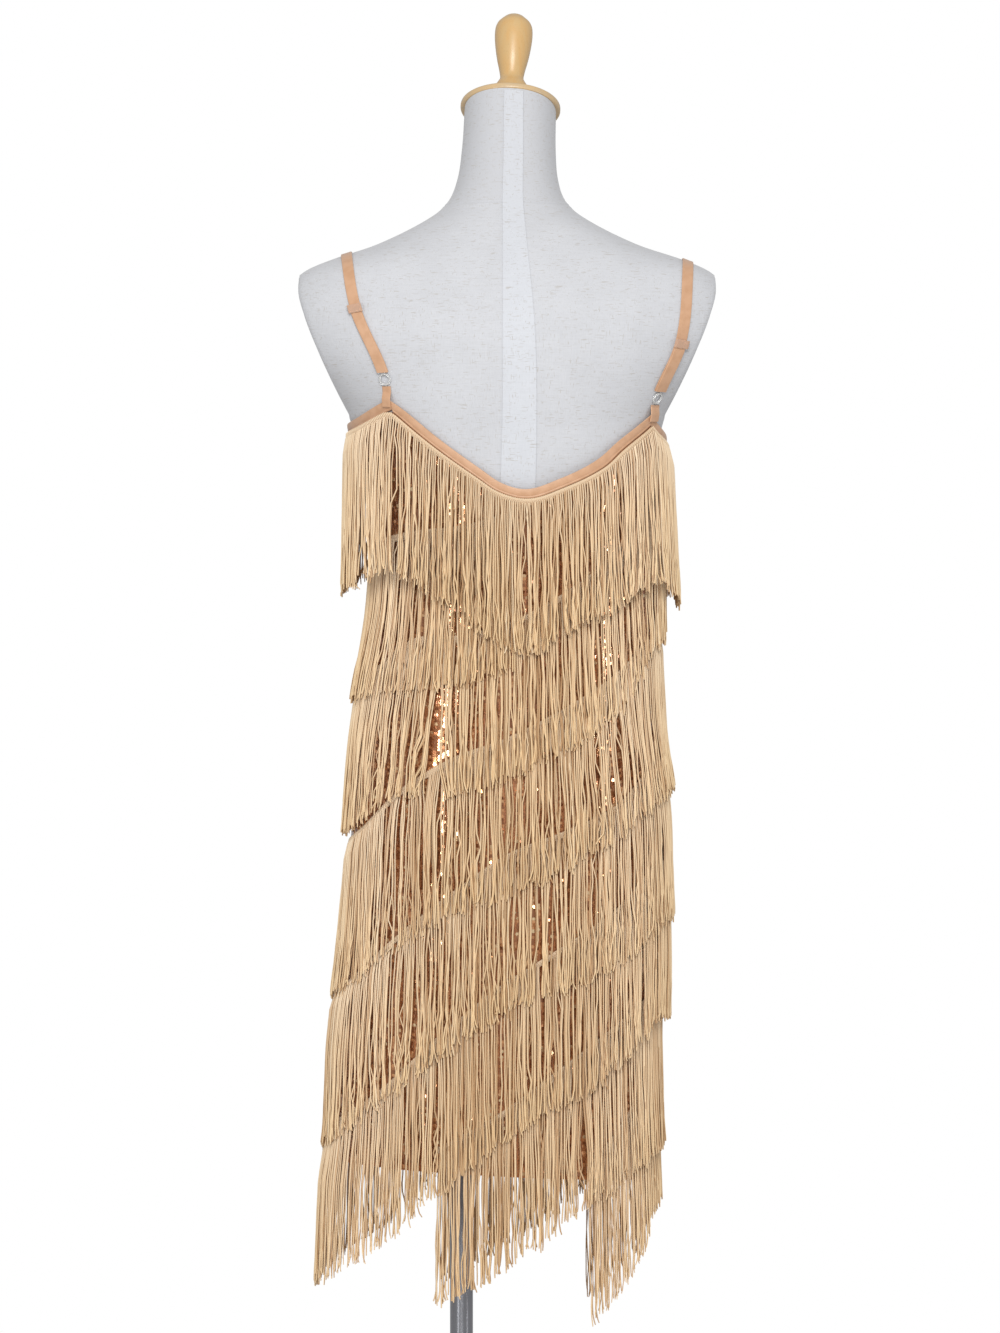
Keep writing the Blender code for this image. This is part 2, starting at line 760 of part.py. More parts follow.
def strap_line(strap, offset, turns):
    """Points of a line beside the strap's middle. A turn is -1 at its ring and 1 at its front end."""
    middle_top = ridge_height(strap.top)
    ridge = Edge(strap.top, middle_top)
    back = [strap.tab, strap.ring, strap.slider, ridge]
    front = [strap.front, ridge]
    lines = [smooth([row.height for row in rows], [row.across for row in rows]) for rows in (back, front)]
    points = []
    for turn in turns:
        side, line, end = (FRONT, lines[1], strap.front) if turn > 0 else (BACK, lines[0], strap.ring)
        top = ridge_height(strap.top + offset)
        height = top - (top - end.height) * turn * turn
        across = line(height - (top - middle_top) * max(1 - abs(turn), 0)) + offset
        point = np.array((BODY_X + across, form_surface(across, height, side), height))
        points.append(seated(point, strap, across, height, side))
    return points


def tape_frames(strap, turns, width=STRAP_WIDTH):
    """Both edges of a tape along a strap, and the direction away from the body at each station."""
    left, right = strap_line(strap, -width / 2, turns), strap_line(strap, width / 2, turns)
    away = []
    for i in range(len(turns)):
        before, after = max(i - 1, 0), min(i + 1, len(turns) - 1)
        along = (left[after] + right[after]) - (left[before] + right[before])
        normal = np.cross(right[i] - left[i], along)
        away.append(normal / np.linalg.norm(normal))
    return left, right, away


def tape(name, strap, turns, clear, thick, surface, width=STRAP_WIDTH):
    """A flat piece that lies along a strap's line, a small distance off the body."""
    left, right, away = tape_frames(strap, turns, width)
    grids = []
    for out in (clear + thick, clear):
        grids.append([[edge + normal * out for edge, normal in zip(line, away)] for line in (left, right)])
    wall(name, grids[0], grids[1], surface)


def ring(strap, sides=18, wire_sides=6):
    """The clear ring between the tab and the strap, lying flat on the back."""
    left, right, away = tape_frames(strap, [-1.03, -1.0, -0.97])
    middle = (left[1] + right[1]) / 2 + away[1] * (STRAP_CLEAR + RING_WIRE)
    across = (right[1] - left[1]) / np.linalg.norm(right[1] - left[1])
    up = np.cross(across, away[1])
    bm = bmesh.new()
    loops = []
    for k in range(sides):
        angle = 2 * math.pi * k / sides
        spoke = across * math.cos(angle) + up * math.sin(angle)
        loop = []
        for m in range(wire_sides):
            turn = 2 * math.pi * m / wire_sides
            wire = spoke * math.cos(turn) + away[1] * math.sin(turn)
            loop.append(bm.verts.new(middle + spoke * RING_RADIUS + wire * RING_WIRE))
        loops.append(loop)
    for k in range(sides):
        here, there = loops[k], loops[(k + 1) % sides]
        for m in range(wire_sides):
            n = (m + 1) % wire_sides
            bm.faces.new((here[m], here[n], there[n], there[m]))
    finish(f"strap_ring_{strap.side}", bm, CLEAR)


def strap_pieces(strap):
    """The strap over the shoulder, its return from ring to slider, the slider, the ring and its tab."""
    side = strap.side
    ring_reach = RING_RADIUS + RING_WIRE + TOUCH_GAP
    above, below = (turn_at(strap, strap.ring.height + reach) for reach in (ring_reach, -ring_reach))
    foot, middle = turn_at(strap, strap.tab.height), turn_at(strap, strap.slider.height)
    up, down = (turn_at(strap, strap.slider.height + SLIDER_HEIGHT / 2 * sign) for sign in (1, -1))
    turns = [*np.linspace(above, 0.88, 22), *np.linspace(0.91, 1, 4)]
    tape(f"strap_{side}", strap, turns, STRAP_CLEAR, STRAP_THICK, TAPE)
    over = STRAP_CLEAR + STRAP_THICK + STRAP_LAYER_GAP
    tape(f"strap_return_{side}", strap, np.linspace(above, middle, 9), over, STRAP_THICK, TAPE)
    over += STRAP_THICK + TOUCH_GAP
    tape(f"strap_slider_{side}", strap, np.linspace(down, up, 3), over, SLIDER_THICK, CLEAR, SLIDER_WIDTH)
    turns = np.linspace(foot, below, 6)
    tape(f"strap_tab_{side}", strap, turns, STRAP_CLEAR, STRAP_THICK, TAPE, TAB_WIDTH)
    ring(strap)


def main():
    form_torso()
    cap_and_knob()
    stand()
    panel("dress_back", BACK)
    panel("dress_front", FRONT)
    neck_binding("binding_neck_back", BACK)
    neck_binding("binding_neck_front", FRONT)
    arm_binding("binding_arm_left", 0)
    arm_binding("binding_arm_right", 2)
    for tier in range(1, 9):
        for side in (BACK, FRONT):
            fringe(tier, side)
    for strap in STRAPS:
        strap_pieces(strap)


main()
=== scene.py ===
import math
from collections import namedtuple

import bpy
import numpy as np
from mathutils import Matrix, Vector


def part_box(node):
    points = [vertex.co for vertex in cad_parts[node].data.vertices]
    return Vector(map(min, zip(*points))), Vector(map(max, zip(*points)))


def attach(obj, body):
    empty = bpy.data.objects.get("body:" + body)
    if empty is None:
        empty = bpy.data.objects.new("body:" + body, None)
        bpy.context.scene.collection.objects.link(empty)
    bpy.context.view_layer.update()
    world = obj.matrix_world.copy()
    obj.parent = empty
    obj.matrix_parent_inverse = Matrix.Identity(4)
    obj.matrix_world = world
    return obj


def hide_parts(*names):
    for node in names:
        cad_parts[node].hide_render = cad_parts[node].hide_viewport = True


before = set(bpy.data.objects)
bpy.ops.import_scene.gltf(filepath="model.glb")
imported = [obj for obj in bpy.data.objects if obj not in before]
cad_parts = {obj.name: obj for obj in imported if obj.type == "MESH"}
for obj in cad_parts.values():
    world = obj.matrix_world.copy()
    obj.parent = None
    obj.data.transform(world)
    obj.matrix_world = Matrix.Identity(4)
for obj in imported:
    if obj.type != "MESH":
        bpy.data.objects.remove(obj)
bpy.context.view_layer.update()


# The base plate is one round iron casting, turned to a low cone and painted satin black. The paint
# is a little rubbed round the rim, where the stand is lifted and slid.
PLATE_RADIUS = 0.180
PLATE_RIM = 0.009
PLATE_CROWN = 0.020
PLATE_CORNER = 0.0035
PLATE_RISES = [(0.94, 0.0002), (0.8, 0.0022), (0.6, 0.0046), (0.4, 0.0068), (0.24, 0.0090), (0.19, 0.0104)]
PLATE_COLOUR = (0.030, 0.030, 0.033)
RUBBED_COLOUR = (0.085, 0.084, 0.082)


def new_finish(name, colour, roughness, **sockets):
    """A material with its shader's plain values, by socket name."""
    made = bpy.data.materials.new(name)
    made.use_nodes = True
    shader = made.node_tree.nodes["Principled BSDF"]
    shader.inputs["Base Color"].default_value = (*colour, 1)
    shader.inputs["Roughness"].default_value = roughness
    for socket, value in sockets.items():
        shader.inputs[socket.replace("_", " ")].default_value = value
    return made


def add_node(tree, kind, inputs=None, **settings):
    """A node of a material's tree, with its sockets set to values or linked to other nodes' sockets."""
    node = tree.nodes.new("ShaderNode" + kind)
    for name, value in settings.items():
        setattr(node, name, value)
    for socket, value in (inputs or {}).items():
        if isinstance(value, bpy.types.NodeSocket):
            tree.links.new(value, node.inputs[socket])
        else:
            node.inputs[socket].default_value = value
    return node


def drive(finish, socket, output):
    """Links a node's output to the shader."""
    finish.node_tree.links.new(output, finish.node_tree.nodes["Principled BSDF"].inputs[socket])


def grain(finish, size, detail=2.0, stretch=(1, 1, 1)):
    """Noise of a feature size in metres, drawn out along an axis by a stretch over 1."""
    tree = finish.node_tree
    place = add_node(tree, "TexCoord").outputs["Object"]
    scale = tuple(1 / (size * s) for s in stretch)
    spread = add_node(tree, "Mapping", {"Vector": place, "Scale": scale}).outputs[0]
    return add_node(tree, "TexNoise", {"Vector": spread, "Scale": 1.0, "Detail": detail}).outputs["Fac"]


def between(value, low, high):
    """0 below low, 1 above high and a soft step between them. A value here is a node's output."""
    inputs = {"Value": value, "From Min": low, "From Max": high}
    return add_node(value.id_data, "MapRange", inputs, interpolation_type="SMOOTHSTEP").outputs["Result"]


def calc(operation, first, second=0.0):
    return add_node(first.id_data, "Math", {0: first, 1: second}, operation=operation).outputs[0]


def scaled(value, times, plus=None):
    """A value times a number or another value, plus a third where one is given."""
    product = calc("MULTIPLY", value, times)
    return product if plus is None else calc("ADD", product, plus)


def blend(share, first, second):
    """One colour mixed with another. A colour is three numbers or a node's output."""
    first, second = (c if isinstance(c, bpy.types.NodeSocket) else (*c, 1) for c in (first, second))
    return add_node(share.id_data, "Mix", {0: share, 6: first, 7: second}, data_type="RGBA").outputs[2]


def raise_by(height, metres, under=None):
    """Relief from a height of 0 to 1, on top of another relief."""
    inputs = {"Height": height, "Distance": metres, "Strength": 1.0}
    if under:
        inputs["Normal"] = under
    return add_node(height.id_data, "Bump", inputs).outputs["Normal"]


def new_piece(name, points, faces, finish, stands_for=None, sharp_over=40):
    """A mesh piece that rides on the part's one body and stands for CAD nodes, or for that of its name."""
    mesh = bpy.data.meshes.new(name)
    mesh.from_pydata(np.asarray(points, float).reshape(-1, 3).tolist(), [], faces)
    mesh.materials.append(finish)
    mesh.shade_smooth()
    mesh.set_sharp_from_angle(angle=math.radians(sharp_over))
    made = bpy.data.objects.new(name, mesh)
    bpy.context.scene.collection.objects.link(made)
    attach(made, "root")
    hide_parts(*([name] if stands_for is None else stands_for))
    return made


def grid_faces(rows, columns, closed=False, first=0):
    """Four-sided faces between rows of points, round to the first column where it is closed."""
    faces = []
    for r in range(rows - 1):
        for c in range(columns if closed else columns - 1):
            a, b = first + r * columns + c, first + r * columns + (c + 1) % columns
            faces.append((a, b, b + columns, a + columns))
    return faces


def end_faces(rows, columns):
    """The two flat ends of a tube of points, rows by columns."""
    return [tuple(range(columns))[::-1], tuple(range((rows - 1) * columns, rows * columns))]


def tube_piece(name, rings, finish, stands_for=None, sharp_over=40, joined=False):
    """A piece through rings of points, with flat ends, or with its last ring joined to its first."""
    rows, columns = rings.shape[:2]
    faces = grid_faces(rows, columns, closed=True)
    if joined:
        last = [(rows - 1) * columns + c for c in range(columns)]
        faces += [(last[c - columns], last[c + 1 - columns], (c + 1) % columns, c) for c in range(columns)]
    else:
        faces += end_faces(rows, columns)
    return new_piece(name, rings, faces, finish, stands_for, sharp_over)


def full_turn(count):
    """Even angles all the way round."""
    return np.linspace(0, 2 * math.pi, count, endpoint=False)


def turned_rings(profile, sides):
    """Rings of points about +Z from rows of radius and height, bottom first."""
    radii, heights = np.array(profile).T
    x, y = (np.outer(radii, turn(full_turn(sides))) for turn in (np.cos, np.sin))
    return np.stack([x, y, np.repeat(heights[:, None], sides, 1)], -1)


def rounded_corner(radius, height, size, turn_from, turn_to, steps=5):
    """Rows of a turned profile round a corner whose arc has this centre and size, in degrees."""
    angles = np.radians(np.linspace(turn_from, turn_to, steps))
    return [(radius + size * math.cos(a), height + size * math.sin(a)) for a in angles]


plate_profile = [(PLATE_RADIUS - 0.004, 0.0)]
plate_profile += rounded_corner(PLATE_RADIUS - 0.002, 0.002, 0.002, -90, 0)
rim_centre = (PLATE_RADIUS - PLATE_CORNER, PLATE_RIM - PLATE_CORNER)
plate_profile += rounded_corner(*rim_centre, PLATE_CORNER, 0, 84, 7)
plate_profile += [(PLATE_RADIUS * share, PLATE_RIM + rise) for share, rise in PLATE_RISES]
plate_profile += rounded_corner(PLATE_RADIUS * 0.155, PLATE_CROWN - 0.002, 0.002, 10, 90)
plate_paint = new_finish("satin_black_paint", PLATE_COLOUR, 0.42, Coat_Weight=0.25, Coat_Roughness=0.3)
cast_lumps = grain(plate_paint, 0.004, 3)
rim_wear = scaled(between(grain(plate_paint, 0.012, 5), 0.52, 0.66), 0.55)
drive(plate_paint, "Base Color", blend(rim_wear, PLATE_COLOUR, RUBBED_COLOUR))
drive(plate_paint, "Roughness", scaled(cast_lumps, 0.16, 0.34))
drive(plate_paint, "Normal", raise_by(cast_lumps, 0.00025))
tube_piece("base_plate", turned_rings(plate_profile, 128), plate_paint, ["stand_base"])


# The pole is a 22 mm steel tube, polished, that runs from the socket up into the form. The socket is
# turned from the same steel and screwed down on the plate through its flange.
POLE_RADIUS = 0.011
TOUCH_GAP = 0.0003
EDGE_BREAK = 0.0006
POLE_FOOT = PLATE_CROWN + TOUCH_GAP
POLE_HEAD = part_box("stand_pole")[1].z
STEEL_COLOUR = (0.27, 0.275, 0.30)
STEEL_PALE = (0.36, 0.365, 0.39)
SOCKET_RADIUS = 0.0155
SOCKET_TOP = PLATE_CROWN + 0.055
SOCKET_FLARE = [(0.0180, 0.0042), (0.0166, 0.0062), (0.0160, 0.0100)]
SOCKET_CORNER = 0.001
FLANGE_RADIUS, FLANGE_THICK = 0.026, 0.004

steel = new_finish(
    "polished_steel", STEEL_COLOUR, 0.38, Metallic=1.0, Anisotropic=0.9, Anisotropic_Rotation=0.25
)
draw_marks = grain(steel, 0.0006, 2, stretch=(60, 60, 1))
drive(steel, "Base Color", blend(grain(steel, 0.05, 2), STEEL_COLOUR, STEEL_PALE))
drive(steel, "Roughness", scaled(draw_marks, 0.1, 0.33))
drive(steel, "Normal", raise_by(draw_marks, 0.00004))
pole_profile = [(POLE_RADIUS - EDGE_BREAK, POLE_FOOT), (POLE_RADIUS, POLE_FOOT + EDGE_BREAK)]
pole_profile += [(POLE_RADIUS, z) for z in np.linspace(POLE_FOOT + 0.05, POLE_HEAD - 0.001, 10)]
pole_profile.append((POLE_RADIUS - EDGE_BREAK, POLE_HEAD))
tube_piece("pole", turned_rings(pole_profile, 64), steel, ["stand_pole"])

bore, corner = POLE_RADIUS + TOUCH_GAP, SOCKET_CORNER
socket_profile = [(bore, POLE_FOOT), (FLANGE_RADIUS - EDGE_BREAK, POLE_FOOT)]
socket_profile += rounded_corner(FLANGE_RADIUS - corner, POLE_FOOT + FLANGE_THICK - corner, corner, 0, 90)
socket_profile += [(radius, POLE_FOOT + rise) for radius, rise in SOCKET_FLARE]
socket_profile += rounded_corner(SOCKET_RADIUS - corner, SOCKET_TOP - corner, corner, 0, 90)
socket_profile.append((bore, SOCKET_TOP))
socket_rings = turned_rings(socket_profile, 64)
tube_piece("socket", socket_rings, steel, ["stand_collar"], joined=True)


# The form is a padded body without arms or legs, covered in white linen that is cut in panels and
# sewn at the neck. Flat arm plates cut it off at the shoulders, and it stands on the pole.
Body = namedtuple("Body", "height half_width back front")
Cut = namedtuple("Cut", "across height")
BODY_X = 0.0437
SECTION_POWER = 2.15
NECK_FOOT, NECK_TOP = 1.4195, 1.5070
NECK_TILT = math.radians(22)
NECK_ROLL = math.radians(2.5)
NECK_LEAN = 0.0032
NECK_SEAM = 1.4140
SEAM_RISE, SEAM_HALF_WIDTH = 0.0007, 0.0022
STITCH_DIP, STITCH_HALF_WIDTH = 0.0008, 0.0007
BODY_SECTIONS = [
    Body(0.600, 0.1280, 0.084, 0.086),
    Body(0.607, 0.1345, 0.094, 0.094),
    Body(0.660, 0.1390, 0.101, 0.098),
    Body(0.730, 0.1440, 0.108, 0.101),
    Body(0.790, 0.1455, 0.111, 0.103),
    Body(0.850, 0.1435, 0.108, 0.101),
    Body(0.910, 0.1370, 0.099, 0.097),
    Body(0.970, 0.1280, 0.089, 0.094),
    Body(1.030, 0.1200, 0.083, 0.093),
    Body(1.080, 0.1190, 0.083, 0.099),
    Body(1.130, 0.1300, 0.088, 0.112),
    Body(1.165, 0.1430, 0.093, 0.119),
    Body(1.200, 0.1485, 0.096, 0.115),
    Body(1.216, 0.1540, 0.098, 0.112),
    Body(1.235, 0.1690, 0.099, 0.108),
    Body(1.269, 0.1990, 0.100, 0.100),
    Body(1.305, 0.2130, 0.096, 0.090),
    Body(1.333, 0.2080, 0.087, 0.079),
    Body(1.3504, 0.1940, 0.079, 0.070),
    Body(1.3620, 0.1670, 0.072, 0.063),
    Body(1.3734, 0.1320, 0.065, 0.057),
    Body(1.3850, 0.1056, 0.058, 0.055),
    Body(1.3965, 0.0840, 0.051, 0.057),
    Body(1.4080, 0.0665, 0.045, 0.060),
    Body(1.4195, 0.0560, 0.041, 0.062),
    Body(1.4387, 0.0487, 0.034, 0.062),
    Body(1.4680, 0.0452, 0.026, 0.066),
    Body(NECK_TOP, 0.0440, 0.019, 0.071),
]
ARM_CUTS = [
    Cut(0.1500, 1.2102),
    Cut(0.1630, 1.2352),
    Cut(0.1786, 1.2688),
    Cut(0.1930, 1.3053),
    Cut(0.1995, 1.3330),
    Cut(0.1990, 1.3450),
]
LINEN_COLOUR = (0.590, 0.597, 0.621)
LINEN_SHADE = (0.521, 0.526, 0.547)
LINEN_THREAD = 0.0007
FLECK_COLOUR = (0.430, 0.405, 0.375)


def smooth(xs, ys):
    """A cubic through the given points that never overshoots them, for numbers or arrays."""
    xs, ys = np.array(xs, float), np.array(ys, float)
    steps = np.diff(xs)
    slopes = np.diff(ys) / steps
    inner = np.where(slopes[:-1] * slopes[1:] > 0, (slopes[:-1] + slopes[1:]) / 2, 0)
    tangents = np.concatenate(([slopes[0]], inner, [slopes[-1]]))

    def value(x):
        x = np.clip(x, xs[0], xs[-1])
        i = np.clip(np.searchsorted(xs, x) - 1, 0, len(steps) - 1)
        t = (x - xs[i]) / steps[i]
        start = ys[i] * (1 + 2 * t) * (1 - t) ** 2 + steps[i] * tangents[i] * t * (1 - t) ** 2
        end = ys[i + 1] * t * t * (3 - 2 * t) - steps[i] * tangents[i + 1] * t * t * (1 - t)
        return start + end

    return value


def column(rows, name):
    return smooth([row.height for row in rows], [getattr(row, name) for row in rows])


def powered(value):
    """The sine or cosine of a rounded section that is a little squarer than an ellipse."""
    return np.sign(value) * np.abs(value) ** (2 / SECTION_POWER)


body_width, body_back, body_front = (column(BODY_SECTIONS, c) for c in ("half_width", "back", "front"))
arm_cut = column(ARM_CUTS, "across")


def body_point(height, angle, out=0.0):
    """A point of the form at a height and an angle round it, with the neck's tilt."""
    back, front = body_back(height), body_front(height)
    width = body_width(height)
    cut = np.where((height > ARM_CUTS[0].height) & (height < ARM_CUTS[-1].height), arm_cut(height), width)
    x = np.clip((width + out) * powered(np.cos(angle)), -cut - out, cut + out)
    y = ((front + back) / 2 + out) * powered(np.sin(angle))
    rise = np.clip((height - NECK_FOOT) / (NECK_TOP - NECK_FOOT), 0, 1)
    z = height - (y * math.tan(NECK_TILT) + x * math.tan(NECK_ROLL)) * rise
    return np.stack([BODY_X + NECK_LEAN * rise + x, (front - back) / 2 + y, z], -1)


def seam_ridge(height):
    """How proud the neck seam's doubled cloth lies, with the stitch line's dip in its middle."""
    off = (height - NECK_SEAM) / SEAM_HALF_WIDTH
    dip = np.exp(-((height - NECK_SEAM) / STITCH_HALF_WIDTH) ** 2)
    return SEAM_RISE * np.exp(-off * off) - STITCH_DIP * dip


body_stretches = [(0.630, 1.190, 36), (1.200, 1.400, 61), (1.404, NECK_SEAM - 0.004, 4)]
body_stretches += [(NECK_SEAM - 0.003, NECK_SEAM + 0.003, 9), (NECK_SEAM + 0.005, NECK_TOP, 26)]
body_heights = [0.600, 0.6012, 0.603, 0.607, 0.614]
body_heights = np.concatenate([body_heights] + [np.linspace(*row) for row in body_stretches])
level, around = np.meshgrid(body_heights, full_turn(144), indexing="ij")
body_rings = body_point(level, around, seam_ridge(level))


def place_height(finish):
    """The height above the floor, as a node's output."""
    place = add_node(finish.node_tree, "TexCoord").outputs["Object"]
    return add_node(finish.node_tree, "SeparateXYZ", {"Vector": place}).outputs["Z"]


def linen_finish(name, colour, shade):
    """Plain weave linen: level and upright threads with slubs, soft stains and a faint sheen."""
    made = new_finish(name, colour, 0.88, Sheen_Weight=0.25, Sheen_Roughness=0.5)
    level_slubs = grain(made, LINEN_THREAD, 2, stretch=(22, 22, 1))
    upright_slubs = grain(made, LINEN_THREAD, 2, stretch=(1, 1, 26))
    clouds = grain(made, 0.045, 3)
    slubs = scaled(level_slubs, 0.5, scaled(upright_slubs, 0.5))
    tone = scaled(slubs, 0.8, scaled(clouds, 0.4))
    # Painted shade: the linen is darkened from 1.38 m up the neck.
    painted_neck_shade = scaled(between(place_height(made), 1.38, 1.45), 0.3)
    tone = calc("SUBTRACT", tone, painted_neck_shade)
    cloth = blend(between(tone, 0.35, 0.85), shade, colour)
    level_flecks = between(grain(made, LINEN_THREAD * 1.3, 1, stretch=(9, 9, 1)), 0.63, 0.72)
    upright_flecks = between(grain(made, LINEN_THREAD * 1.3, 1, stretch=(1, 1, 7)), 0.65, 0.74)
    flecks = scaled(calc("MAXIMUM", level_flecks, upright_flecks), 0.7)
    drive(made, "Base Color", blend(flecks, cloth, FLECK_COLOUR))
    weave = raise_by(level_slubs, 0.00022)
    drive(made, "Normal", raise_by(upright_slubs, 0.00018, weave))
    return made


linen = linen_finish("white_linen", LINEN_COLOUR, LINEN_SHADE)
form = tube_piece("form_body", body_rings, linen, ["form_torso"], 50)


# A strip of paler linen is sewn down the middle of the form's back, over the join of the back panels.
# It runs from the cap to below the dress's neckline and is pressed flat, with a fold along each edge.
Strip = namedtuple("Strip", "height left right")
STRIP_EDGES = [
    Strip(1.080, -0.0060, 0.0260),
    Strip(1.140, -0.0060, 0.0265),
    Strip(1.200, -0.0045, 0.0275),
    Strip(1.290, -0.0040, 0.0260),
    Strip(1.380, -0.0040, 0.0180),
    Strip(1.414, -0.0042, 0.0150),
    Strip(1.460, -0.0046, 0.0135),
    Strip(1.500, -0.0056, 0.0120),
]
STRIP_COLOUR = (0.612, 0.627, 0.660)
STRIP_SHADE = (0.565, 0.577, 0.607)
STRIP_THICK = 0.0007

strip_left, strip_right = (column(STRIP_EDGES, side) for side in ("left", "right"))


def back_angle(height, across):
    """The angle round the form of a point of its back this far from the middle."""
    reach = np.clip(across / body_width(height), -1, 1)
    cosine = np.sign(reach) * np.abs(reach) ** (SECTION_POWER / 2)
    return 2 * math.pi - np.arccos(cosine)


def wall_piece(name, outer, inner, finish, stands_for=None):
    """A thin closed piece between two grids of points, rows by columns."""
    rows, columns = outer.shape[:2]
    faces = grid_faces(rows, columns)
    offset = rows * columns
    faces += [tuple(i + offset for i in face[::-1]) for face in faces]
    rim = [(0, c) for c in range(columns)]
    rim += [(r, columns - 1) for r in range(1, rows)]
    rim += [(rows - 1, c) for c in range(columns - 2, -1, -1)]
    rim += [(r, 0) for r in range(rows - 2, 0, -1)]
    rim = [r * columns + c for r, c in rim]
    faces += [(b, a, a + offset, b + offset) for a, b in zip(rim, rim[1:] + rim[:1])]
    points = np.concatenate((outer.reshape(-1, 3), inner.reshape(-1, 3)))
    return new_piece(name, points, faces, finish, stands_for)


strip_heights = np.linspace(1.085, NECK_TOP - 0.0015, 110)
strip_shares = np.array([0.0, 0.04, 0.08, 0.16, 0.3, 0.5, 0.7, 0.84, 0.92, 0.96, 1.0])
level, share = np.meshgrid(strip_heights, strip_shares, indexing="ij")
across = strip_left(level) + (strip_right(level) - strip_left(level)) * share
lift = STRIP_THICK * (1 + 0.5 * np.cos(math.pi * np.clip(np.minimum(share, 1 - share) / 0.16, 0, 1)))
lift += seam_ridge(level)
strip_outer = body_point(level, back_angle(level, across), lift)
strip_inner = body_point(level, back_angle(level, across), seam_ridge(level) + 0.0001)
strip_linen = linen_finish("pale_linen", STRIP_COLOUR, STRIP_SHADE)
wall_piece("form_back_strip", strip_outer, strip_inner, strip_linen, [])


# The cap is a flat beech disc, turned with a rounded rim and a low crown, that closes the neck. It is
# screwed down on the wooden block inside, and is lacquered clear.
CAP_RADIUS = 0.0482
CAP_THICK = 0.0065
CAP_CROWN = 0.0025
CAP_EDGE = 0.0022
CAP_FLAT = 0.42
BEECH_COLOUR = (0.605, 0.406, 0.184)
BEECH_DARK = (0.62, 0.38, 0.15)
CAP_COLOUR = (0.550, 0.405, 0.239)
CAP_DARK = (0.62, 0.43, 0.22)


def unit(vectors):
    """Vectors of the same directions, one metre long."""
    return vectors / np.linalg.norm(vectors, axis=-1, keepdims=True)


def on_neck(profile, sides):
    """Rings of a piece turned about the line that stands on the tilted top of the neck."""
    back, front = body_back(NECK_TOP), body_front(NECK_TOP)
    across = unit(np.array([1, 0, -math.tan(NECK_ROLL)]))
    up = unit(np.cross(across, [0, 1, -math.tan(NECK_TILT)]))
    toward = np.cross(up, across)
    seat = np.array([BODY_X + NECK_LEAN, (front - back) / 2, NECK_TOP])
    points = turned_rings(profile, sides)
    x, y, z = (points[..., k, None] for k in range(3))
    return seat + across * x + toward * y + up * (z + TOUCH_GAP)


def beech_finish(name, light, dark, run):
    """Lacquered beech: soft grain drawn out along the piece, and the wood's short dark flecks."""
    made = new_finish(name, light, 0.36, Coat_Weight=0.35, Coat_Roughness=0.22)
    bands = grain(made, 0.0042, 3, stretch=run)
    flecks = grain(made, 0.0006, 1, stretch=tuple(0.4 * r + 0.6 for r in run))
    wood = blend(between(bands, 0.3, 0.72), light, dark)
    fleck_share = scaled(between(flecks, 0.62, 0.72), 0.45)
    drive(made, "Base Color", blend(fleck_share, wood, tuple(0.7 * c for c in dark)))
    drive(made, "Roughness", scaled(bands, 0.12, 0.3))
    drive(made, "Normal", raise_by(flecks, 0.00003))
    return made


cap_profile = rounded_corner(CAP_RADIUS - CAP_EDGE, CAP_EDGE, CAP_EDGE, -90, 0, 6)
cap_profile += rounded_corner(CAP_RADIUS - CAP_EDGE, CAP_THICK - CAP_EDGE, CAP_EDGE, 0, 80, 6)
for share in (0.9, 0.82, 0.74, 0.66, 0.58, 0.5, CAP_FLAT):
    rise = CAP_CROWN * (1 - ((share - CAP_FLAT) / 0.55) ** 2)
    cap_profile.append((CAP_RADIUS * share, CAP_THICK + rise))
cap_wood = beech_finish("cap_beech", CAP_COLOUR, CAP_DARK, (9, 1.3, 1))
tube_piece("neck_cap", on_neck(cap_profile, 96), cap_wood, ["form_neck_cap"])


# The knob is turned from one piece of beech, lacquered like the cap. It has a bell foot, a narrow
# neck and a pear-shaped head, and screws into the cap.
Turned = namedtuple("Turned", "height radius")
KNOB_ROWS = [
    Turned(0.0, 0.0200),
    Turned(0.0070, 0.0192),
    Turned(0.0170, 0.0157),
    Turned(0.0265, 0.0113),
    Turned(0.0320, 0.0120),
    Turned(0.0470, 0.0152),
    Turned(0.0610, 0.0174),
    Turned(0.0730, 0.0183),
    Turned(0.0850, 0.0162),
    Turned(0.0918, 0.0100),
]
KNOB_FOOT = [Turned(0.0, 0.0194), Turned(0.0006, 0.0199)]
KNOB_TIP = [Turned(0.0929, 0.0085), Turned(0.0939, 0.0062), Turned(0.0944, 0.0036), Turned(0.0945, 0.0012)]

knob_radius = column(KNOB_ROWS, "radius")
knob_sides = [Turned(h, float(knob_radius(h))) for h in np.linspace(0.0014, KNOB_ROWS[-1].height, 60)]
knob_seat = CAP_THICK + CAP_CROWN + TOUCH_GAP
knob_profile = [(row.radius, knob_seat + row.height) for row in KNOB_FOOT + knob_sides + KNOB_TIP]
knob_wood = beech_finish("knob_beech", BEECH_COLOUR, BEECH_DARK, (1, 1, 12))
tube_piece("neck_knob", on_neck(knob_profile, 64), knob_wood, ["form_knob"])


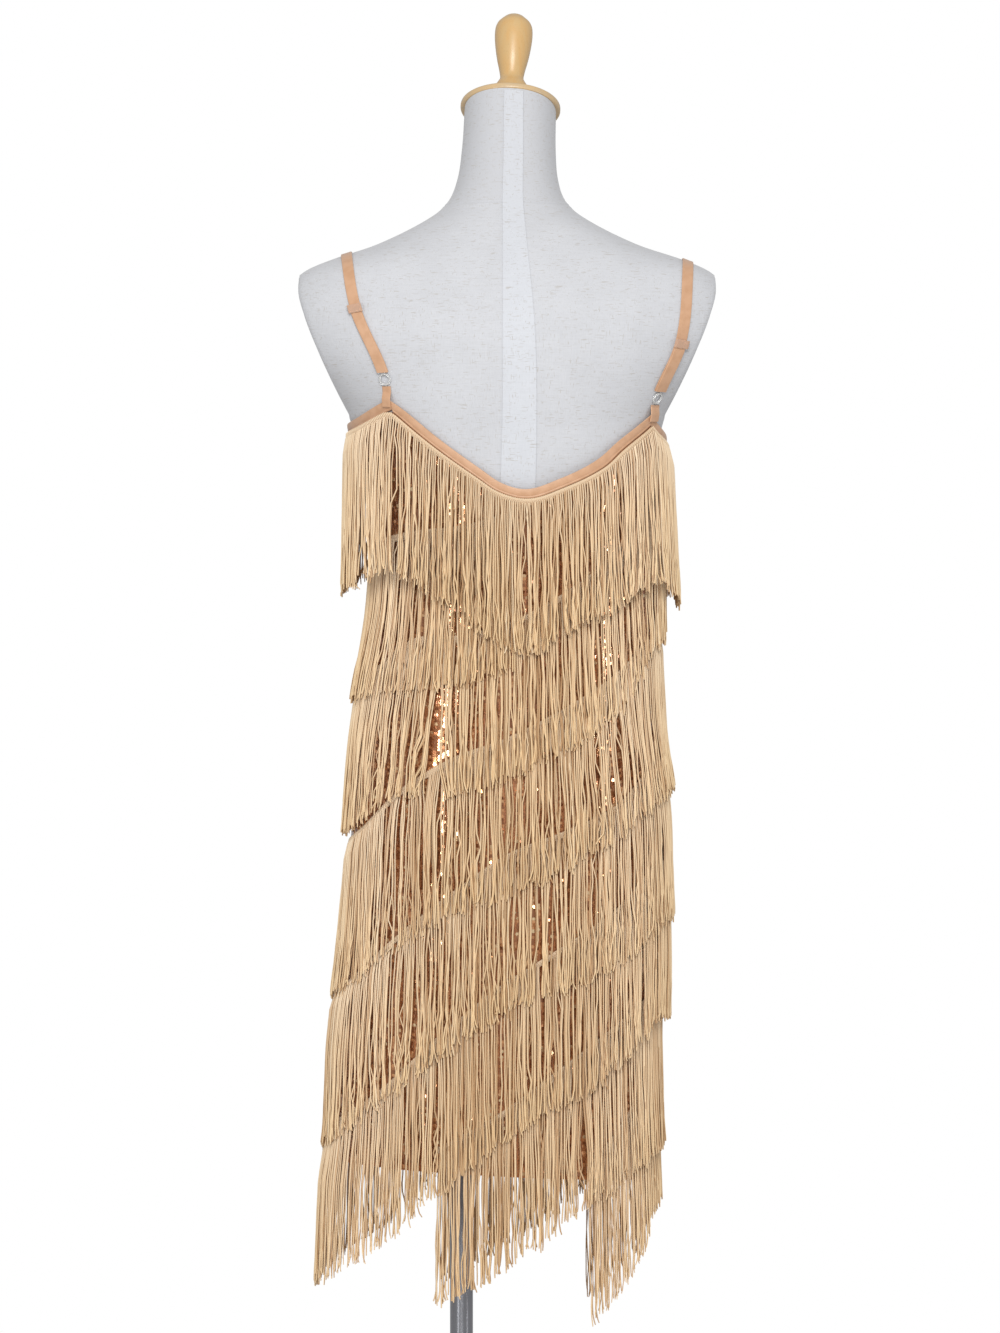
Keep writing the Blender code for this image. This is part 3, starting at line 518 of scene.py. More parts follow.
# The sheath is the dress's ground: a back and a front panel of copper knit, joined at the side seams
# and cut off at a slanting hem. It hangs from the straps and covers the form loosely.
Sheath = namedtuple("Sheath", "height half_width shift back front")
Edge = namedtuple("Edge", "across height")
BACK, FRONT = -1, 1
SIDES = {"back": BACK, "front": FRONT}
WALL = 0.0015
SEAM_SHARE = 0.0005
TYPICAL_HEIGHT = 0.85
RIPPLE = 0.00045
BINDING_WIDTH = 0.009
HEM_LEFT, HEM_RIGHT = 0.505, 0.481
SHEATH_SECTIONS = [
    Sheath(0.480, 0.1565, -0.0173, 0.119, 0.114),
    Sheath(0.527, 0.1534, -0.0151, 0.119, 0.114),
    Sheath(0.613, 0.1526, -0.0134, 0.118, 0.113),
    Sheath(0.707, 0.1525, -0.0043, 0.117, 0.112),
    Sheath(0.786, 0.1500, 0.0, 0.117, 0.110),
    Sheath(0.835, 0.1490, 0.0010, 0.115, 0.109),
    Sheath(0.901, 0.1445, -0.0005, 0.109, 0.107),
    Sheath(0.956, 0.1410, 0.0020, 0.103, 0.105),
    Sheath(0.997, 0.1380, 0.0058, 0.098, 0.104),
    Sheath(1.036, 0.1360, 0.0077, 0.095, 0.105),
    Sheath(1.079, 0.1360, 0.0091, 0.094, 0.110),
    Sheath(1.112, 0.1387, 0.0082, 0.096, 0.119),
    Sheath(1.151, 0.1480, 0.0050, 0.098, 0.126),
    Sheath(1.190, 0.1520, 0.0012, 0.099, 0.123),
    Sheath(1.216, 0.1575, 0.0, 0.101, 0.116),
    Sheath(1.240, 0.1765, 0.0, 0.1025, 0.111),
]
TOP_EDGES = {
    BACK: [
        [Edge(-0.1510, 1.203), Edge(-0.1430, 1.209), Edge(-0.1130, 1.2246)],
        [Edge(-0.1130, 1.2246), Edge(-0.0630, 1.1855), Edge(-0.0255, 1.1583), Edge(-0.0067, 1.1455)]
        + [Edge(0.0170, 1.1390), Edge(0.0497, 1.1489), Edge(0.0873, 1.1686), Edge(0.1060, 1.1855)]
        + [Edge(0.1380, 1.2115)],
        [Edge(0.1380, 1.2115), Edge(0.1440, 1.203), Edge(0.1512, 1.190)],
    ],
    FRONT: [
        [Edge(-0.1510, 1.203), Edge(-0.1440, 1.211), Edge(-0.1180, 1.2340)],
        [Edge(-0.1180, 1.2340), Edge(-0.0600, 1.1930), Edge(0.0, 1.1660)]
        + [Edge(0.0600, 1.1930), Edge(0.1180, 1.2340)],
        [Edge(0.1180, 1.2340), Edge(0.1440, 1.206), Edge(0.1512, 1.190)],
    ],
}
PANEL_CUT = (0.470, 0.760)
KNIT_COLOUR = (0.480, 0.180, 0.060)
KNIT_SHADE = (0.300, 0.100, 0.032)

sheath_width, sheath_shift, sheath_back, sheath_front = (
    column(SHEATH_SECTIONS, c) for c in ("half_width", "shift", "back", "front")
)


def arc_table():
    """Angles along half a typical section of the sheath, and the share of its length up to each."""
    angles = np.linspace(0, math.pi, 400)
    x = -sheath_width(TYPICAL_HEIGHT) * powered(np.cos(angles))
    y = (sheath_back(TYPICAL_HEIGHT) + sheath_front(TYPICAL_HEIGHT)) / 2 * powered(np.sin(angles))
    lengths = np.concatenate(([0], np.cumsum(np.hypot(np.diff(x), np.diff(y)))))
    return angles, lengths / lengths[-1], lengths[-1]


ARC_ANGLES, ARC_SHARES, PANEL_WIDTH = arc_table()


def dress_point(side, share, height, out=0.0):
    """A point of the sheath, by its share of the way from the left seam to the right seam."""
    angle = np.interp(share, ARC_SHARES, ARC_ANGLES)
    back, front = sheath_back(height), sheath_front(height)
    x = BODY_X + sheath_shift(height) - (sheath_width(height) + out) * powered(np.cos(angle))
    y = (front - back) / 2 + side * ((front + back) / 2 + out) * powered(np.sin(angle))
    return np.stack(np.broadcast_arrays(x, y, height), -1)


def dress_outward(side, share, height):
    """The level direction that points straight away from the cloth."""
    before = dress_point(side, np.maximum(share - 1e-3, 0), height)
    after = dress_point(side, np.minimum(share + 1e-3, 1), height)
    along = unit((after - before)[..., :2])
    return np.stack([-side * along[..., 1], side * along[..., 0], 0 * along[..., 0]], -1)


def share_at(across, height):
    """The share of the way along a panel where the cloth stands at this distance from the middle."""
    reach = np.clip((across - sheath_shift(height)) / sheath_width(height), -1, 1)
    angle = np.arccos(-np.sign(reach) * np.abs(reach) ** (SECTION_POWER / 2))
    return np.interp(angle, ARC_ANGLES, ARC_SHARES)


def edge_curve(side, piece):
    """One of the three curves of a panel's upper edge: its first share, last share and height."""
    rows = TOP_EDGES[side][piece]
    shares = [float(share_at(row.across, row.height)) for row in rows]
    if piece == 0:
        shares[0] = 0.0
    if piece == 2:
        shares[-1] = 1.0
    return shares[0], shares[-1], smooth(shares, [row.height for row in rows])


def edge_line(side, piece, steps):
    """Shares along one curve of the edge, with the heights of the edge and of the binding's foot."""
    first, last, height = edge_curve(side, piece)
    shares = np.linspace(first, last, steps)
    low, high = np.maximum(shares - 0.01, first), np.minimum(shares + 0.01, last)
    slope = np.abs((height(high) - height(low)) / ((high - low) * PANEL_WIDTH))
    return shares, height(shares), height(shares) - BINDING_WIDTH * np.hypot(1, np.minimum(slope, 1.2))


def whole_edge(side):
    """The edge from seam to seam, as shares, heights and the lower of the binding's feet at corners."""
    lines = [edge_line(side, piece, steps) for piece, steps in EDGE_STEPS]
    shares, tops, feet = (np.concatenate(rows) for rows in zip(*lines))
    joined = np.unique(shares.round(6))
    tops = np.array([tops[np.abs(shares - s) < 1e-5].max() for s in joined])
    feet = np.array([feet[np.abs(shares - s) < 1e-5].min() for s in joined])
    return joined, tops, feet


EDGE_STEPS = ((0, 13), (1, 61), (2, 13))
EDGES = {side: whole_edge(side) for side in (BACK, FRONT)}


def top_height(side, share):
    return np.interp(share, EDGES[side][0], EDGES[side][1])


def binding_foot(side, share):
    return np.interp(share, EDGES[side][0], EDGES[side][2])


def hem_height(share):
    return HEM_LEFT + (HEM_RIGHT - HEM_LEFT) * share


def knit_finish():
    """Copper knit with a metal thread: fine upright ribs and a mottled shine."""
    made = new_finish("copper_knit", KNIT_COLOUR, 0.5, Metallic=0.25, Sheen_Weight=0.15)
    ribs = grain(made, 0.0007, 2, stretch=(1, 1, 9))
    patches = grain(made, 0.006, 3)
    drive(made, "Base Color", blend(between(ribs, 0.34, 0.66), KNIT_SHADE, KNIT_COLOUR))
    drive(made, "Roughness", scaled(patches, 0.3, 0.3))
    drive(made, "Normal", raise_by(ribs, 0.0003))
    return made


def sheath_ripple(side, share, height):
    """Shallow upright folds of the loose cloth, deeper toward the hem."""
    drop = np.clip((1.15 - height) / 0.65, 0, 1)
    waves = np.sin(share * 47 + 2.2 * side + height * 5) + 0.6 * np.sin(share * 83 - height * 9 + side)
    return RIPPLE * waves * drop


def sheath_panel(name, side, finish):
    shares = EDGES[side][0].clip(SEAM_SHARE, 1 - SEAM_SHARE)
    top = binding_foot(side, shares) - TOUCH_GAP
    drop = np.linspace(0, 1, 50)[:, None]
    height = top + (hem_height(shares) - top) * drop
    share = np.broadcast_to(shares, height.shape)
    ripple = sheath_ripple(side, share, height) * np.clip(drop * 12, 0, 1)
    outer = dress_point(side, share, height, ripple)
    inner = dress_point(side, share, height, ripple - WALL)
    return wall_piece(name, outer, inner, finish)


knit = knit_finish()
panels = {side: sheath_panel(f"dress_{name}", side, knit) for name, side in SIDES.items()}


# The knit is covered with flat copper sequins on upright threads. They overlap down each thread like
# scales and lie at slightly different angles, so that single ones flash between the cords.
SEQUIN_RADIUS = 0.0020
SEQUIN_DROP = 0.0029
SEQUIN_ACROSS = 0.0046
SEQUIN_LIFT = 0.00055
SEQUIN_TOP, SEQUIN_FOOT = 0.0035, 0.003
SEQUIN_LEAN = 1.5
SEQUIN_TILT = 0.05
SEQUIN_SIDES = 6
COPPER = (0.86, 0.42, 0.18)
BROWN = (0.40, 0.15, 0.055)
GOLD = (1.0, 0.74, 0.42)


def sequin_finish():
    """Metal-backed plastic, each sequin of its own tone between brown, copper and gold."""
    made = new_finish("copper_sequin", COPPER, 0.2, Metallic=0.7, Coat_Weight=1.0, Coat_Roughness=0.06)
    tone = add_node(made.node_tree, "Attribute", attribute_name="tone").outputs["Fac"]
    lower = blend(between(tone, 0.25, 0.75), BROWN, COPPER)
    drive(made, "Base Color", blend(between(tone, 0.8, 1.0), lower, GOLD))
    wear = grain(made, 0.0009, 2)
    drive(made, "Roughness", scaled(wear, 0.08, 0.07))
    drive(made, "Normal", raise_by(wear, 0.00001))
    return made


def sequin_piece(name, side, finish):
    rng = np.random.default_rng(7 + side)
    strings = np.arange(0.004, PANEL_WIDTH - 0.003, SEQUIN_ACROSS) / PANEL_WIDTH
    drops = np.arange(0.0, PANEL_CUT[1], SEQUIN_DROP)
    share, drop = (grid.ravel() for grid in np.meshgrid(strings, drops))
    share = share + rng.uniform(-0.0004, 0.0004, share.size) / PANEL_WIDTH
    height = binding_foot(side, share) - SEQUIN_TOP - drop - rng.uniform(0, 0.0005, share.size)
    kept = height > hem_height(share) + SEQUIN_FOOT
    share, height = share[kept], height[kept]
    middle = dress_point(side, share, height, sheath_ripple(side, share, height) + SEQUIN_LIFT)
    normal = dress_outward(side, share, height)
    loose = rng.choice([1, 6], share.size, p=[0.86, 0.14])
    lean, turn = np.radians(rng.normal(0, SEQUIN_LEAN, (2, share.size)) * loose)[..., None]
    up = np.array([0.0, 0.0, 1.0])
    along = np.cross(up, normal)
    face = unit(normal + along * turn + up * (lean - SEQUIN_TILT))
    first = unit(along - face * (along * face).sum(-1, keepdims=True))
    second = np.cross(face, first)
    angles = full_turn(SEQUIN_SIDES)[:, None]
    spread = first[:, None] * np.cos(angles) + second[:, None] * np.sin(angles)
    points = middle[:, None] + spread * SEQUIN_RADIUS
    faces = np.arange(points.shape[0] * SEQUIN_SIDES).reshape(-1, SEQUIN_SIDES).tolist()
    made = new_piece(name, points, faces, finish, [])
    tones = np.repeat(rng.uniform(0, 1, share.size) ** 1.3, SEQUIN_SIDES)
    made.data.attributes.new("tone", "FLOAT", "POINT").data.foreach_set("value", tones)
    return made


sequin_foil = sequin_finish()
sequins = {side: sequin_piece(f"sequins_{name}", side, sequin_foil) for name, side in SIDES.items()}


# The raw upper edges are bound with satin tape, folded over the edge and stitched down along its
# foot: one length on each neckline, and one round each armhole from the back to the front.
BINDING_PROUD = 0.0006
TAPE_COLOUR = (0.600, 0.350, 0.205)
TAPE_SHADE = (0.540, 0.303, 0.168)
FOLD_FACE = [(0.0, 0.45), (0.05, 0.95), (0.16, 1.0), (0.24, 0.55), (0.32, 1.0), (0.6, 1.15), (0.85, 1.05)]
FOLD_FACE.append((0.96, 0.7))

satin = new_finish("satin_tape", TAPE_COLOUR, 0.42, Sheen_Weight=0.2, Anisotropic=0.4)
satin_threads = grain(satin, 0.0004, 2, stretch=(22, 22, 1))
satin_tone = blend(between(grain(satin, 0.009, 3), 0.35, 0.7), TAPE_COLOUR, TAPE_SHADE)
drive(satin, "Base Color", satin_tone)
drive(satin, "Normal", raise_by(satin_threads, 0.00012))


def fold_rings(side, piece, trim_first=SEAM_SHARE, trim_last=SEAM_SHARE):
    """Sections of the folded tape along one curve of the edge, from its foot over the edge and down."""
    shares, tops, feet = edge_line(side, piece, 61 if piece == 1 else 17)
    shares = shares.clip(shares[0] + trim_first, shares[-1] - trim_last)
    outs = [(rise, BINDING_PROUD * out) for rise, out in FOLD_FACE]
    outs += [(1.0, -0.0004), (0.96, -0.0011), (0.85, -WALL), (0.4, -WALL), (0.0, -WALL)]
    rings = [dress_point(side, shares, feet + (tops - feet) * rise, out) for rise, out in outs]
    return np.stack(rings, 1)


bindings = {BACK: [], FRONT: []}
for name, side in SIDES.items():
    bindings[side].append(tube_piece(f"binding_neck_{name}", fold_rings(side, 1), satin))
for name, piece, trims in (("left", 0, (0, SEAM_SHARE)), ("right", 2, (SEAM_SHARE, 0))):
    back, front = (fold_rings(side, piece, *trims) for side in (BACK, FRONT))
    rings = np.concatenate((back[::-1], front[1:]) if piece == 0 else (back, front[::-1][1:]))
    bindings[BACK].append(tube_piece(f"binding_arm_{name}", rings, satin))


# The fringe is rayon chainette in eight tiers. Each tier is a woven header strip with loops of cord
# below it, sewn round the dress along a slanting line, so that the tiers of the back run down to the left.
FRINGE_LENGTH = 0.150
HEADER_HEIGHT = 0.007
HEADER_CLEAR = 0.0014
FIRST_HEADER_CLEAR = 0.0019
HEADER_THICK = 0.0020
HEADER_DROP = 0.0020
# A tier's under_shade lowers the tone of its under layer of cords and its shade lowers all its cords:
# painted shade, deepest for the second tier and the tiers round the hem.
Tier = namedtuple("Tier", "start end lift_tops lift_ends cling under_kept over_kept under_shade shade")
TIERS = {
    1: Tier(0, 1, (0.0048, 0.0048), (0.0058, 0.0085, 0.0110, 0.0112, 0.0112), 0.0, 0.92, 0.97, 0.34, 0.0),
    2: Tier(0, 0.49, (0.0018, 0.0018), (0.0050, 0.0066), 0.7, 0.72, 0.94, 0.34, 0.10),
    3: Tier(0, 1, (0.0018, 0.0018), (0.0060, 0.0036), 0.8, 0.72, 0.94, 0.34, 0.02),
    4: Tier(0, 1, (0.0045, 0.0018), (0.0045, 0.0080), 0.5, 0.70, 0.92, 0.34, 0.06),
    5: Tier(0, 1, (0.0045, 0.0018), (0.0060, 0.0070), 0.5, 0.80, 0.96, 0.34, 0.03),
    6: Tier(0, 1, (0.0030, 0.0018), (0.0085, 0.0070), 0.5, 0.92, 0.97, 0.18, 0.13),
    7: Tier(0.385, 1, (0.0036, 0.0036), (0.0080, 0.0080), 0.5, 0.92, 0.97, 0.18, 0.13),
    8: Tier(0.715, 1, (0.0018, 0.0018), (0.0050, 0.0050), 0.5, 0.92, 0.97, 0.18, 0.13),
}
HEADER_LINES = {
    2: (1.0900, 1.0940, 1.1010, 1.1050, 1.1180),
    3: (0.9600, 0.9690, 0.9985, 1.0020, 1.0160, 1.0430, 1.0810, 1.1380, 1.1550),
    4: (0.8040, 0.8190, 0.8570, 0.8860, 0.9050, 0.9310, 0.9610, 0.9960, 1.0050),
    5: (0.6590, 0.6750, 0.7155, 0.7580, 0.7960, 0.8170, 0.8400, 0.8760, 0.8850),
    6: (0.5320, 0.5450, 0.5740, 0.6230, 0.6710, 0.7070, 0.7410, 0.7820, 0.7880),
    7: (0.5200, 0.5500, 0.5880, 0.6250, 0.6570, 0.6680),
    8: (0.5010, 0.5300, 0.5640, 0.6050, 0.6160),
}
FIRST_LENGTHS = (0.150, 0.150, 0.147, 0.136, 0.148, 0.138, 0.141, 0.150, 0.150)
FIRST_HEADER_RISE = 0.0022
HEADER_SECTION = [(0.05, 0.3), (0.14, 0.7), (0.86, 0.7), (0.95, 0.3), (0.95, 0.0), (0.05, 0.0)]
HEADER_STEP = 0.0042
CORD_RADIUS = 0.00080
CORD_PITCH = 0.00196
CORD_START = 0.0025
CORD_LEVELS = np.array([0, 0.04, 0.1, 0.18, 0.27, 0.36, 0.45, 0.54, 0.63, 0.72, 0.8, 0.87, 0.93, 0.975, 1.0])
# Crest values round a cord's section paint light and shade on it: 1 on the front, less at the sides and
# back.
CORD_CREST = np.array([1.0, 0.1, 0.6, 0.1])
CORD_UNEVEN = 0.0024
CORD_SWAY = 0.0007
CORD_WANDER, HEM_WANDER, LIFT_WANDER = 0.0017, 0.0011, 0.0004
STRAY_REACH = 0.008
HOOK_REACH = (0.0008, 0.0024)
BEND_DEPTH, BEND_CLEAR = 0.014, 0.0009
LAYER_LIFT, UNDER_DROP = 0.0016, 0.0013
CLUMP_LEAST, CLUMP_MOST = 0.004, 0.011
SEAM_SLACK = 0.004
# The header strip's tone is lowered as painted shade; the stitches' tone is higher.
HEADER_TONE, STITCH_TONE = 0.38, 0.72
HEM_TIERS = (6, 7, 8)
TWILL_PITCH = 0.00198
TWILL_RADIUS = 0.00056
TWILL_SLANT, TWILL_INSET = 0.0035, 0.006
FRINGE_REACH = 0.15
GAP_STEPS, GAP_WIDTHS = (0.010, 0.020), (0.0004, 0.0015)
GAP_TOPS, GAP_FEET = (0.02, 0.07), (0.11, 0.165)
Parting = namedtuple("Parting", "across top bottom width")
PARTINGS = [
    Parting(*row)
    for row in (
        (-0.1025, 1.192, 1.058, 0.0052), (-0.0828, 1.128, 1.072, 0.0021), (0.0158, 1.123, 0.987, 0.0024),
        (0.0496, 1.128, 0.997, 0.0017), (0.1031, 1.133, 1.062, 0.0019), (0.1350, 1.072, 1.015, 0.0034),
        (-0.1316, 1.090, 0.997, 0.0058), (-0.0293, 1.072, 0.997, 0.0019), (-0.1147, 1.156, 1.109, 0.0014),
        (-0.0809, 1.045, 0.987, 0.0029), (-0.0725, 1.043, 0.997, 0.0021), (-0.0462, 1.029, 0.978, 0.0024),
        (-0.0527, 1.025, 0.982, 0.0019), (-0.1091, 0.926, 0.818, 0.0048), (-0.0931, 0.940, 0.865, 0.0024),
        (-0.0753, 0.921, 0.846, 0.0043), (-0.0593, 0.960, 0.900, 0.0020), (-0.0565, 0.872, 0.790, 0.0028),
        (-0.0067, 0.959, 0.921, 0.0021), (0.0233, 0.966, 0.936, 0.0019), (0.0571, 0.987, 0.964, 0.0014),
        (0.0796, 0.997, 0.945, 0.0021), (0.0815, 0.921, 0.846, 0.0043), (0.0909, 0.921, 0.818, 0.0025),
        (0.0994, 0.931, 0.846, 0.0058), (0.1059, 0.912, 0.837, 0.0025), (-0.0603, 0.874, 0.748, 0.0036),
        (-0.0434, 0.846, 0.771, 0.0027), (-0.0255, 0.851, 0.766, 0.0034), (-0.0030, 0.860, 0.804, 0.0029),
        (0.0149, 0.879, 0.813, 0.0023), (0.0355, 0.837, 0.785, 0.0029), (0.0796, 0.846, 0.748, 0.0038),
        (0.1134, 0.809, 0.752, 0.0024), (-0.1034, 0.762, 0.668, 0.0034), (-0.0865, 0.766, 0.720, 0.0025),
        (0.1378, 0.818, 0.785, 0.0019), (-0.1513, 0.762, 0.673, 0.0034), (-0.0950, 0.705, 0.597, 0.0043),
        (-0.0715, 0.720, 0.654, 0.0024), (0.0073, 0.748, 0.696, 0.0024), (0.0242, 0.757, 0.691, 0.0024),
        (0.0383, 0.734, 0.677, 0.0021), (0.0787, 0.766, 0.715, 0.0038), (0.1153, 0.776, 0.734, 0.0023),
        (0.0609, 0.673, 0.626, 0.0019), (0.0477, 0.673, 0.635, 0.0029), (-0.0650, 0.607, 0.489, 0.0034),
        (-0.0809, 0.579, 0.518, 0.0021), (-0.0743, 0.588, 0.532, 0.0024), (0.0102, 0.546, 0.494, 0.0019),
        (0.0205, 0.649, 0.569, 0.0029), (0.0411, 0.616, 0.569, 0.0029), (0.0684, 0.555, 0.489, 0.0038),
        (0.0571, 0.555, 0.508, 0.0019), (0.0937, 0.682, 0.616, 0.0019), (-0.1157, 0.527, 0.433, 0.0024),
        (-0.1372, 0.518, 0.480, 0.0019), (-0.0171, 0.504, 0.405, 0.0034), (-0.0293, 0.485, 0.400, 0.0019),
        (0.0308, 0.565, 0.508, 0.0021), (0.0674, 0.527, 0.457, 0.0034), (0.1022, 0.485, 0.438, 0.0019),
        (0.1116, 0.489, 0.405, 0.0034),
    )
]
Lean = namedtuple("Lean", "tier first last shift power")
LEANS = [
    Lean(3, -0.1250, -0.0593, -0.0120, 1.2),
    Lean(3, -0.0720, -0.0593, -0.0075, 2.5),
    Lean(3, -0.0593, -0.0330, 0.0115, 2.2),
]
PLY_TURNS = 5200
# The root, middle and tip colours paint light: the flat upper run paler as if lit from the front, the free
# tips more golden as if lit through.
CORD_ROOT = (0.830, 0.655, 0.450)
CORD_MIDDLE = (0.865, 0.655, 0.410)
CORD_TIP = (0.875, 0.655, 0.385)
CORD_DARK = (0.560, 0.350, 0.180)
CORD_PALE = (0.950, 0.800, 0.580)
# The colour of the painted shade on each cord's sides and in the grooves of its twist.
CORD_SIDE_SHADE = (0.360, 0.175, 0.060)


def cord_finish():
    """Rayon cord of its own tone. Painted light: paler root, golden tip. Painted shade: darker sides."""
    made = new_finish("rayon_cord", CORD_MIDDLE, 0.5, Sheen_Weight=0.3, Sheen_Roughness=0.4)
    strand = add_node(made.node_tree, "Attribute", attribute_name="strand").outputs["Vector"]
    parts = add_node(made.node_tree, "SeparateXYZ", {"Vector": strand})
    run, tone, crest = (parts.outputs[axis] for axis in "XYZ")
    # Painted light: paler toward the root, more golden toward the tip.
    upper = blend(between(run, 0.0, 0.5), CORD_ROOT, CORD_MIDDLE)
    whole = blend(between(run, 0.5, 1.0), upper, CORD_TIP)
    # A low tone, the cord's own or lowered by painted shade, mixes toward the dark colour, a high one toward
    # the pale.
    dark = scaled(between(tone, 0.45, 0.0), 0.9)
    pale = scaled(between(tone, 0.55, 1.0), 0.8)
    whole = blend(pale, blend(dark, whole, CORD_DARK), CORD_PALE)
    turns = scaled(place_height(made), PLY_TURNS, scaled(tone, 60))
    lay = calc("ADD", turns, scaled(crest, 2.4))
    slack_lay = scaled(grain(made, 0.004, 2), 9)
    plies = calc("SINE", calc("ADD", lay, slack_lay))
    # Painted shade in the grooves of the twist.
    groove = scaled(between(plies, -0.2, -1.0), 0.06)
    # Painted shade: each cord's sides and back darken by its crest value, less toward the tip.
    edge = scaled(between(crest, 0.75, 0.1), between(run, 1.2, 0.95))
    shade = calc("MAXIMUM", scaled(edge, 0.95), groove)
    drive(made, "Base Color", blend(shade, whole, CORD_SIDE_SHADE))
    drive(made, "Normal", raise_by(plies, 0.00004))
    return made


def header_height(tier, side, share):
    """The upper edge of a tier's header at a share of the panel."""
    if tier == 1:
        return binding_foot(side, share) - HEADER_DROP + FIRST_HEADER_RISE
    heights = HEADER_LINES[tier]
    return smooth(np.linspace(TIERS[tier].start, TIERS[tier].end, len(heights)), heights)(share)


def hang_point(side, share, root, depth, out, cling):
    """Points of the fringe below its root: it hangs plumb, and the cloth below can push it out."""
    start = dress_point(side, share, root)
    away = dress_outward(side, share, root)
    reach = farthest = 0.0
    for step in range(1, 9):
        level = dress_point(side, share, root - depth * step / 8)
        reach = ((level - start) * away).sum(-1)
        farthest = np.maximum(farthest, reach)
    hang = farthest + cling * (reach - farthest)
    point = start + away * (hang + out)[..., None]
    point[..., 2] = root - depth
    return point


def even_steps(values, share):
    return np.interp(share, np.linspace(0, 1, len(values)), values)


def clump_fields(rng, width, count):
    """For cords along a width: their clump's middle, pull, sway, lift, length and tone."""
    widths = rng.uniform(CLUMP_LEAST, CLUMP_MOST, int(width / CLUMP_LEAST) + 2)
    edges = np.concatenate(([0], np.cumsum(widths)))
    places = np.linspace(0, width, count)
    home = np.searchsorted(edges, places, side="right") - 1
    fields = {"middle": (edges[home] + edges[home + 1]) / 2, "half": (edges[home + 1] - edges[home]) / 2}
    for name, low, high in (
        ("pull", -0.05, 0.25),
        ("sway", -0.0022, 0.0022),
        ("lift", -0.0004, 0.0012),
        ("length", -0.0035, 0.0030),
        ("tone", -0.12, 0.12),
    ):
        fields[name] = rng.uniform(low, high, len(edges))[home]
    return places, fields


def wander(rng, count, run, size, steps=11):
    """Each cord's own crooked path: a few random bends that grow toward its free end."""
    bends = rng.normal(0, 1, (count, steps))
    bends[:, 0] = 0
    path = np.cumsum(bends, 1) * 0.35 + rng.normal(0, 0.55, bends.shape) * (np.arange(steps) > 0)
    path = np.array([np.interp(run, np.linspace(0, 1, steps), row) for row in path])
    return path * size * (0.4 + 0.6 * run)


def parted(places, heights, rows):
    """Pushes cords aside, most at the middle of each parting's height."""
    shift = np.zeros_like(heights)
    for row in rows:
        run = np.clip((heights - row.bottom) / (row.top - row.bottom), 0, 1)
        opening = row.width * 0.5 * np.sin(math.pi * run) ** 0.7
        reach = np.maximum(5 * row.width, 0.008)
        off = places - row.across
        shift += np.sign(off) * opening * np.clip(1 - np.abs(off) / reach, 0, 1)
    return shift


def seeded_partings(rng, tier, side):
    """Small partings every 10 to 20 mm, and on the front some as wide as those seen on the back."""
    rows = []
    across = -FRINGE_REACH
    while across < FRINGE_REACH:
        across += rng.uniform(*GAP_STEPS)
        share = share_at(across, TYPICAL_HEIGHT)
        root = float(header_height(tier, side, share))
        top = root - rng.uniform(*GAP_TOPS)
        width = rng.uniform(*GAP_WIDTHS)
        if side == FRONT:
            width *= rng.choice([1.0, 1.0, 2.4])
        rows.append(Parting(across, top, root - rng.uniform(*GAP_FEET), width))
    return rows


def cord_mesh(middle, away, tone, run, radius, first=0):
    """Points, faces and attribute rows of thin cords from their middle lines, cord by ring by axis."""
    count, rings = middle.shape[:2]
    sides = len(CORD_CREST)
    turns = full_turn(sides)[:, None]
    tangent = unit(np.gradient(middle, axis=1))
    across = unit(np.cross(tangent, away[:, None]))
    outward = np.cross(across, tangent)
    spread = outward[..., None, :] * np.cos(turns) + across[..., None, :] * np.sin(turns)
    points = middle[..., None, :] + spread * np.broadcast_to(radius, (count, rings))[..., None, None]
    ring = first + (np.arange(count)[:, None, None] * rings + np.arange(rings)[None, :, None]) * sides
    k = np.arange(sides)
    m = (k + 1) % sides
    quads = np.stack((ring[:, :-1] + k, ring[:, :-1] + m, ring[:, 1:] + m, ring[:, 1:] + k), -1)
    caps = np.concatenate((ring[:, 0] + k[::-1], ring[:, -1] + k))
    faces = quads.reshape(-1, 4).tolist() + caps.tolist()
    rows = np.stack(np.broadcast_arrays(run[..., None], tone[:, None, None], CORD_CREST), -1)
    return points.reshape(-1, 3), faces, rows.reshape(-1, 3)


def header_clear(tier):
    """How far the header lies from the sheath: more where the first one overlaps the binding's foot."""
    return FIRST_HEADER_CLEAR if tier == 1 else HEADER_CLEAR


def header_mesh(tier, side, start, end):
    """The woven strip: a flat tube under a row of fine slanted stitches."""
    inner = header_clear(tier)
    columns = int((end - start) * PANEL_WIDTH / HEADER_STEP)
    sides = len(HEADER_SECTION)
    shares = np.linspace(start, end, columns).clip(SEAM_SHARE, 1 - SEAM_SHARE)
    top = header_height(tier, side, shares)
    levels = [(top - HEADER_HEIGHT * drop, inner + HEADER_THICK * out) for drop, out in HEADER_SECTION]
    points = np.stack([dress_point(side, shares, *level) for level in levels], 1).reshape(-1, 3)
    faces = grid_faces(columns, sides, closed=True) + end_faces(columns, sides)
    # The strip takes a low tone and half crest: painted shade on it between and under its stitches.
    rows = np.tile([0.0, HEADER_TONE, 0.50], (len(points), 1))
    count = int((end - start) * PANEL_WIDTH / TWILL_PITCH)
    share = np.linspace(start + TWILL_INSET, end - TWILL_INSET, count)[:, None]
    share = share + np.array([-TWILL_SLANT, 0.0, TWILL_SLANT])
    top = header_height(tier, side, share)
    out = inner + HEADER_THICK * np.array([0.5, 0.8, 0.5])
    middle = dress_point(side, share, top - HEADER_HEIGHT * np.array([0.04, 0.5, 0.96]), out)
    away = dress_outward(side, share[:, 1], top[:, 1])
    run = np.zeros_like(share)
    stitches = cord_mesh(middle, away, np.full(count, STITCH_TONE), run, TWILL_RADIUS, len(points))
    return np.concatenate((points, stitches[0])), faces + stitches[1], np.concatenate((rows, stitches[2]))


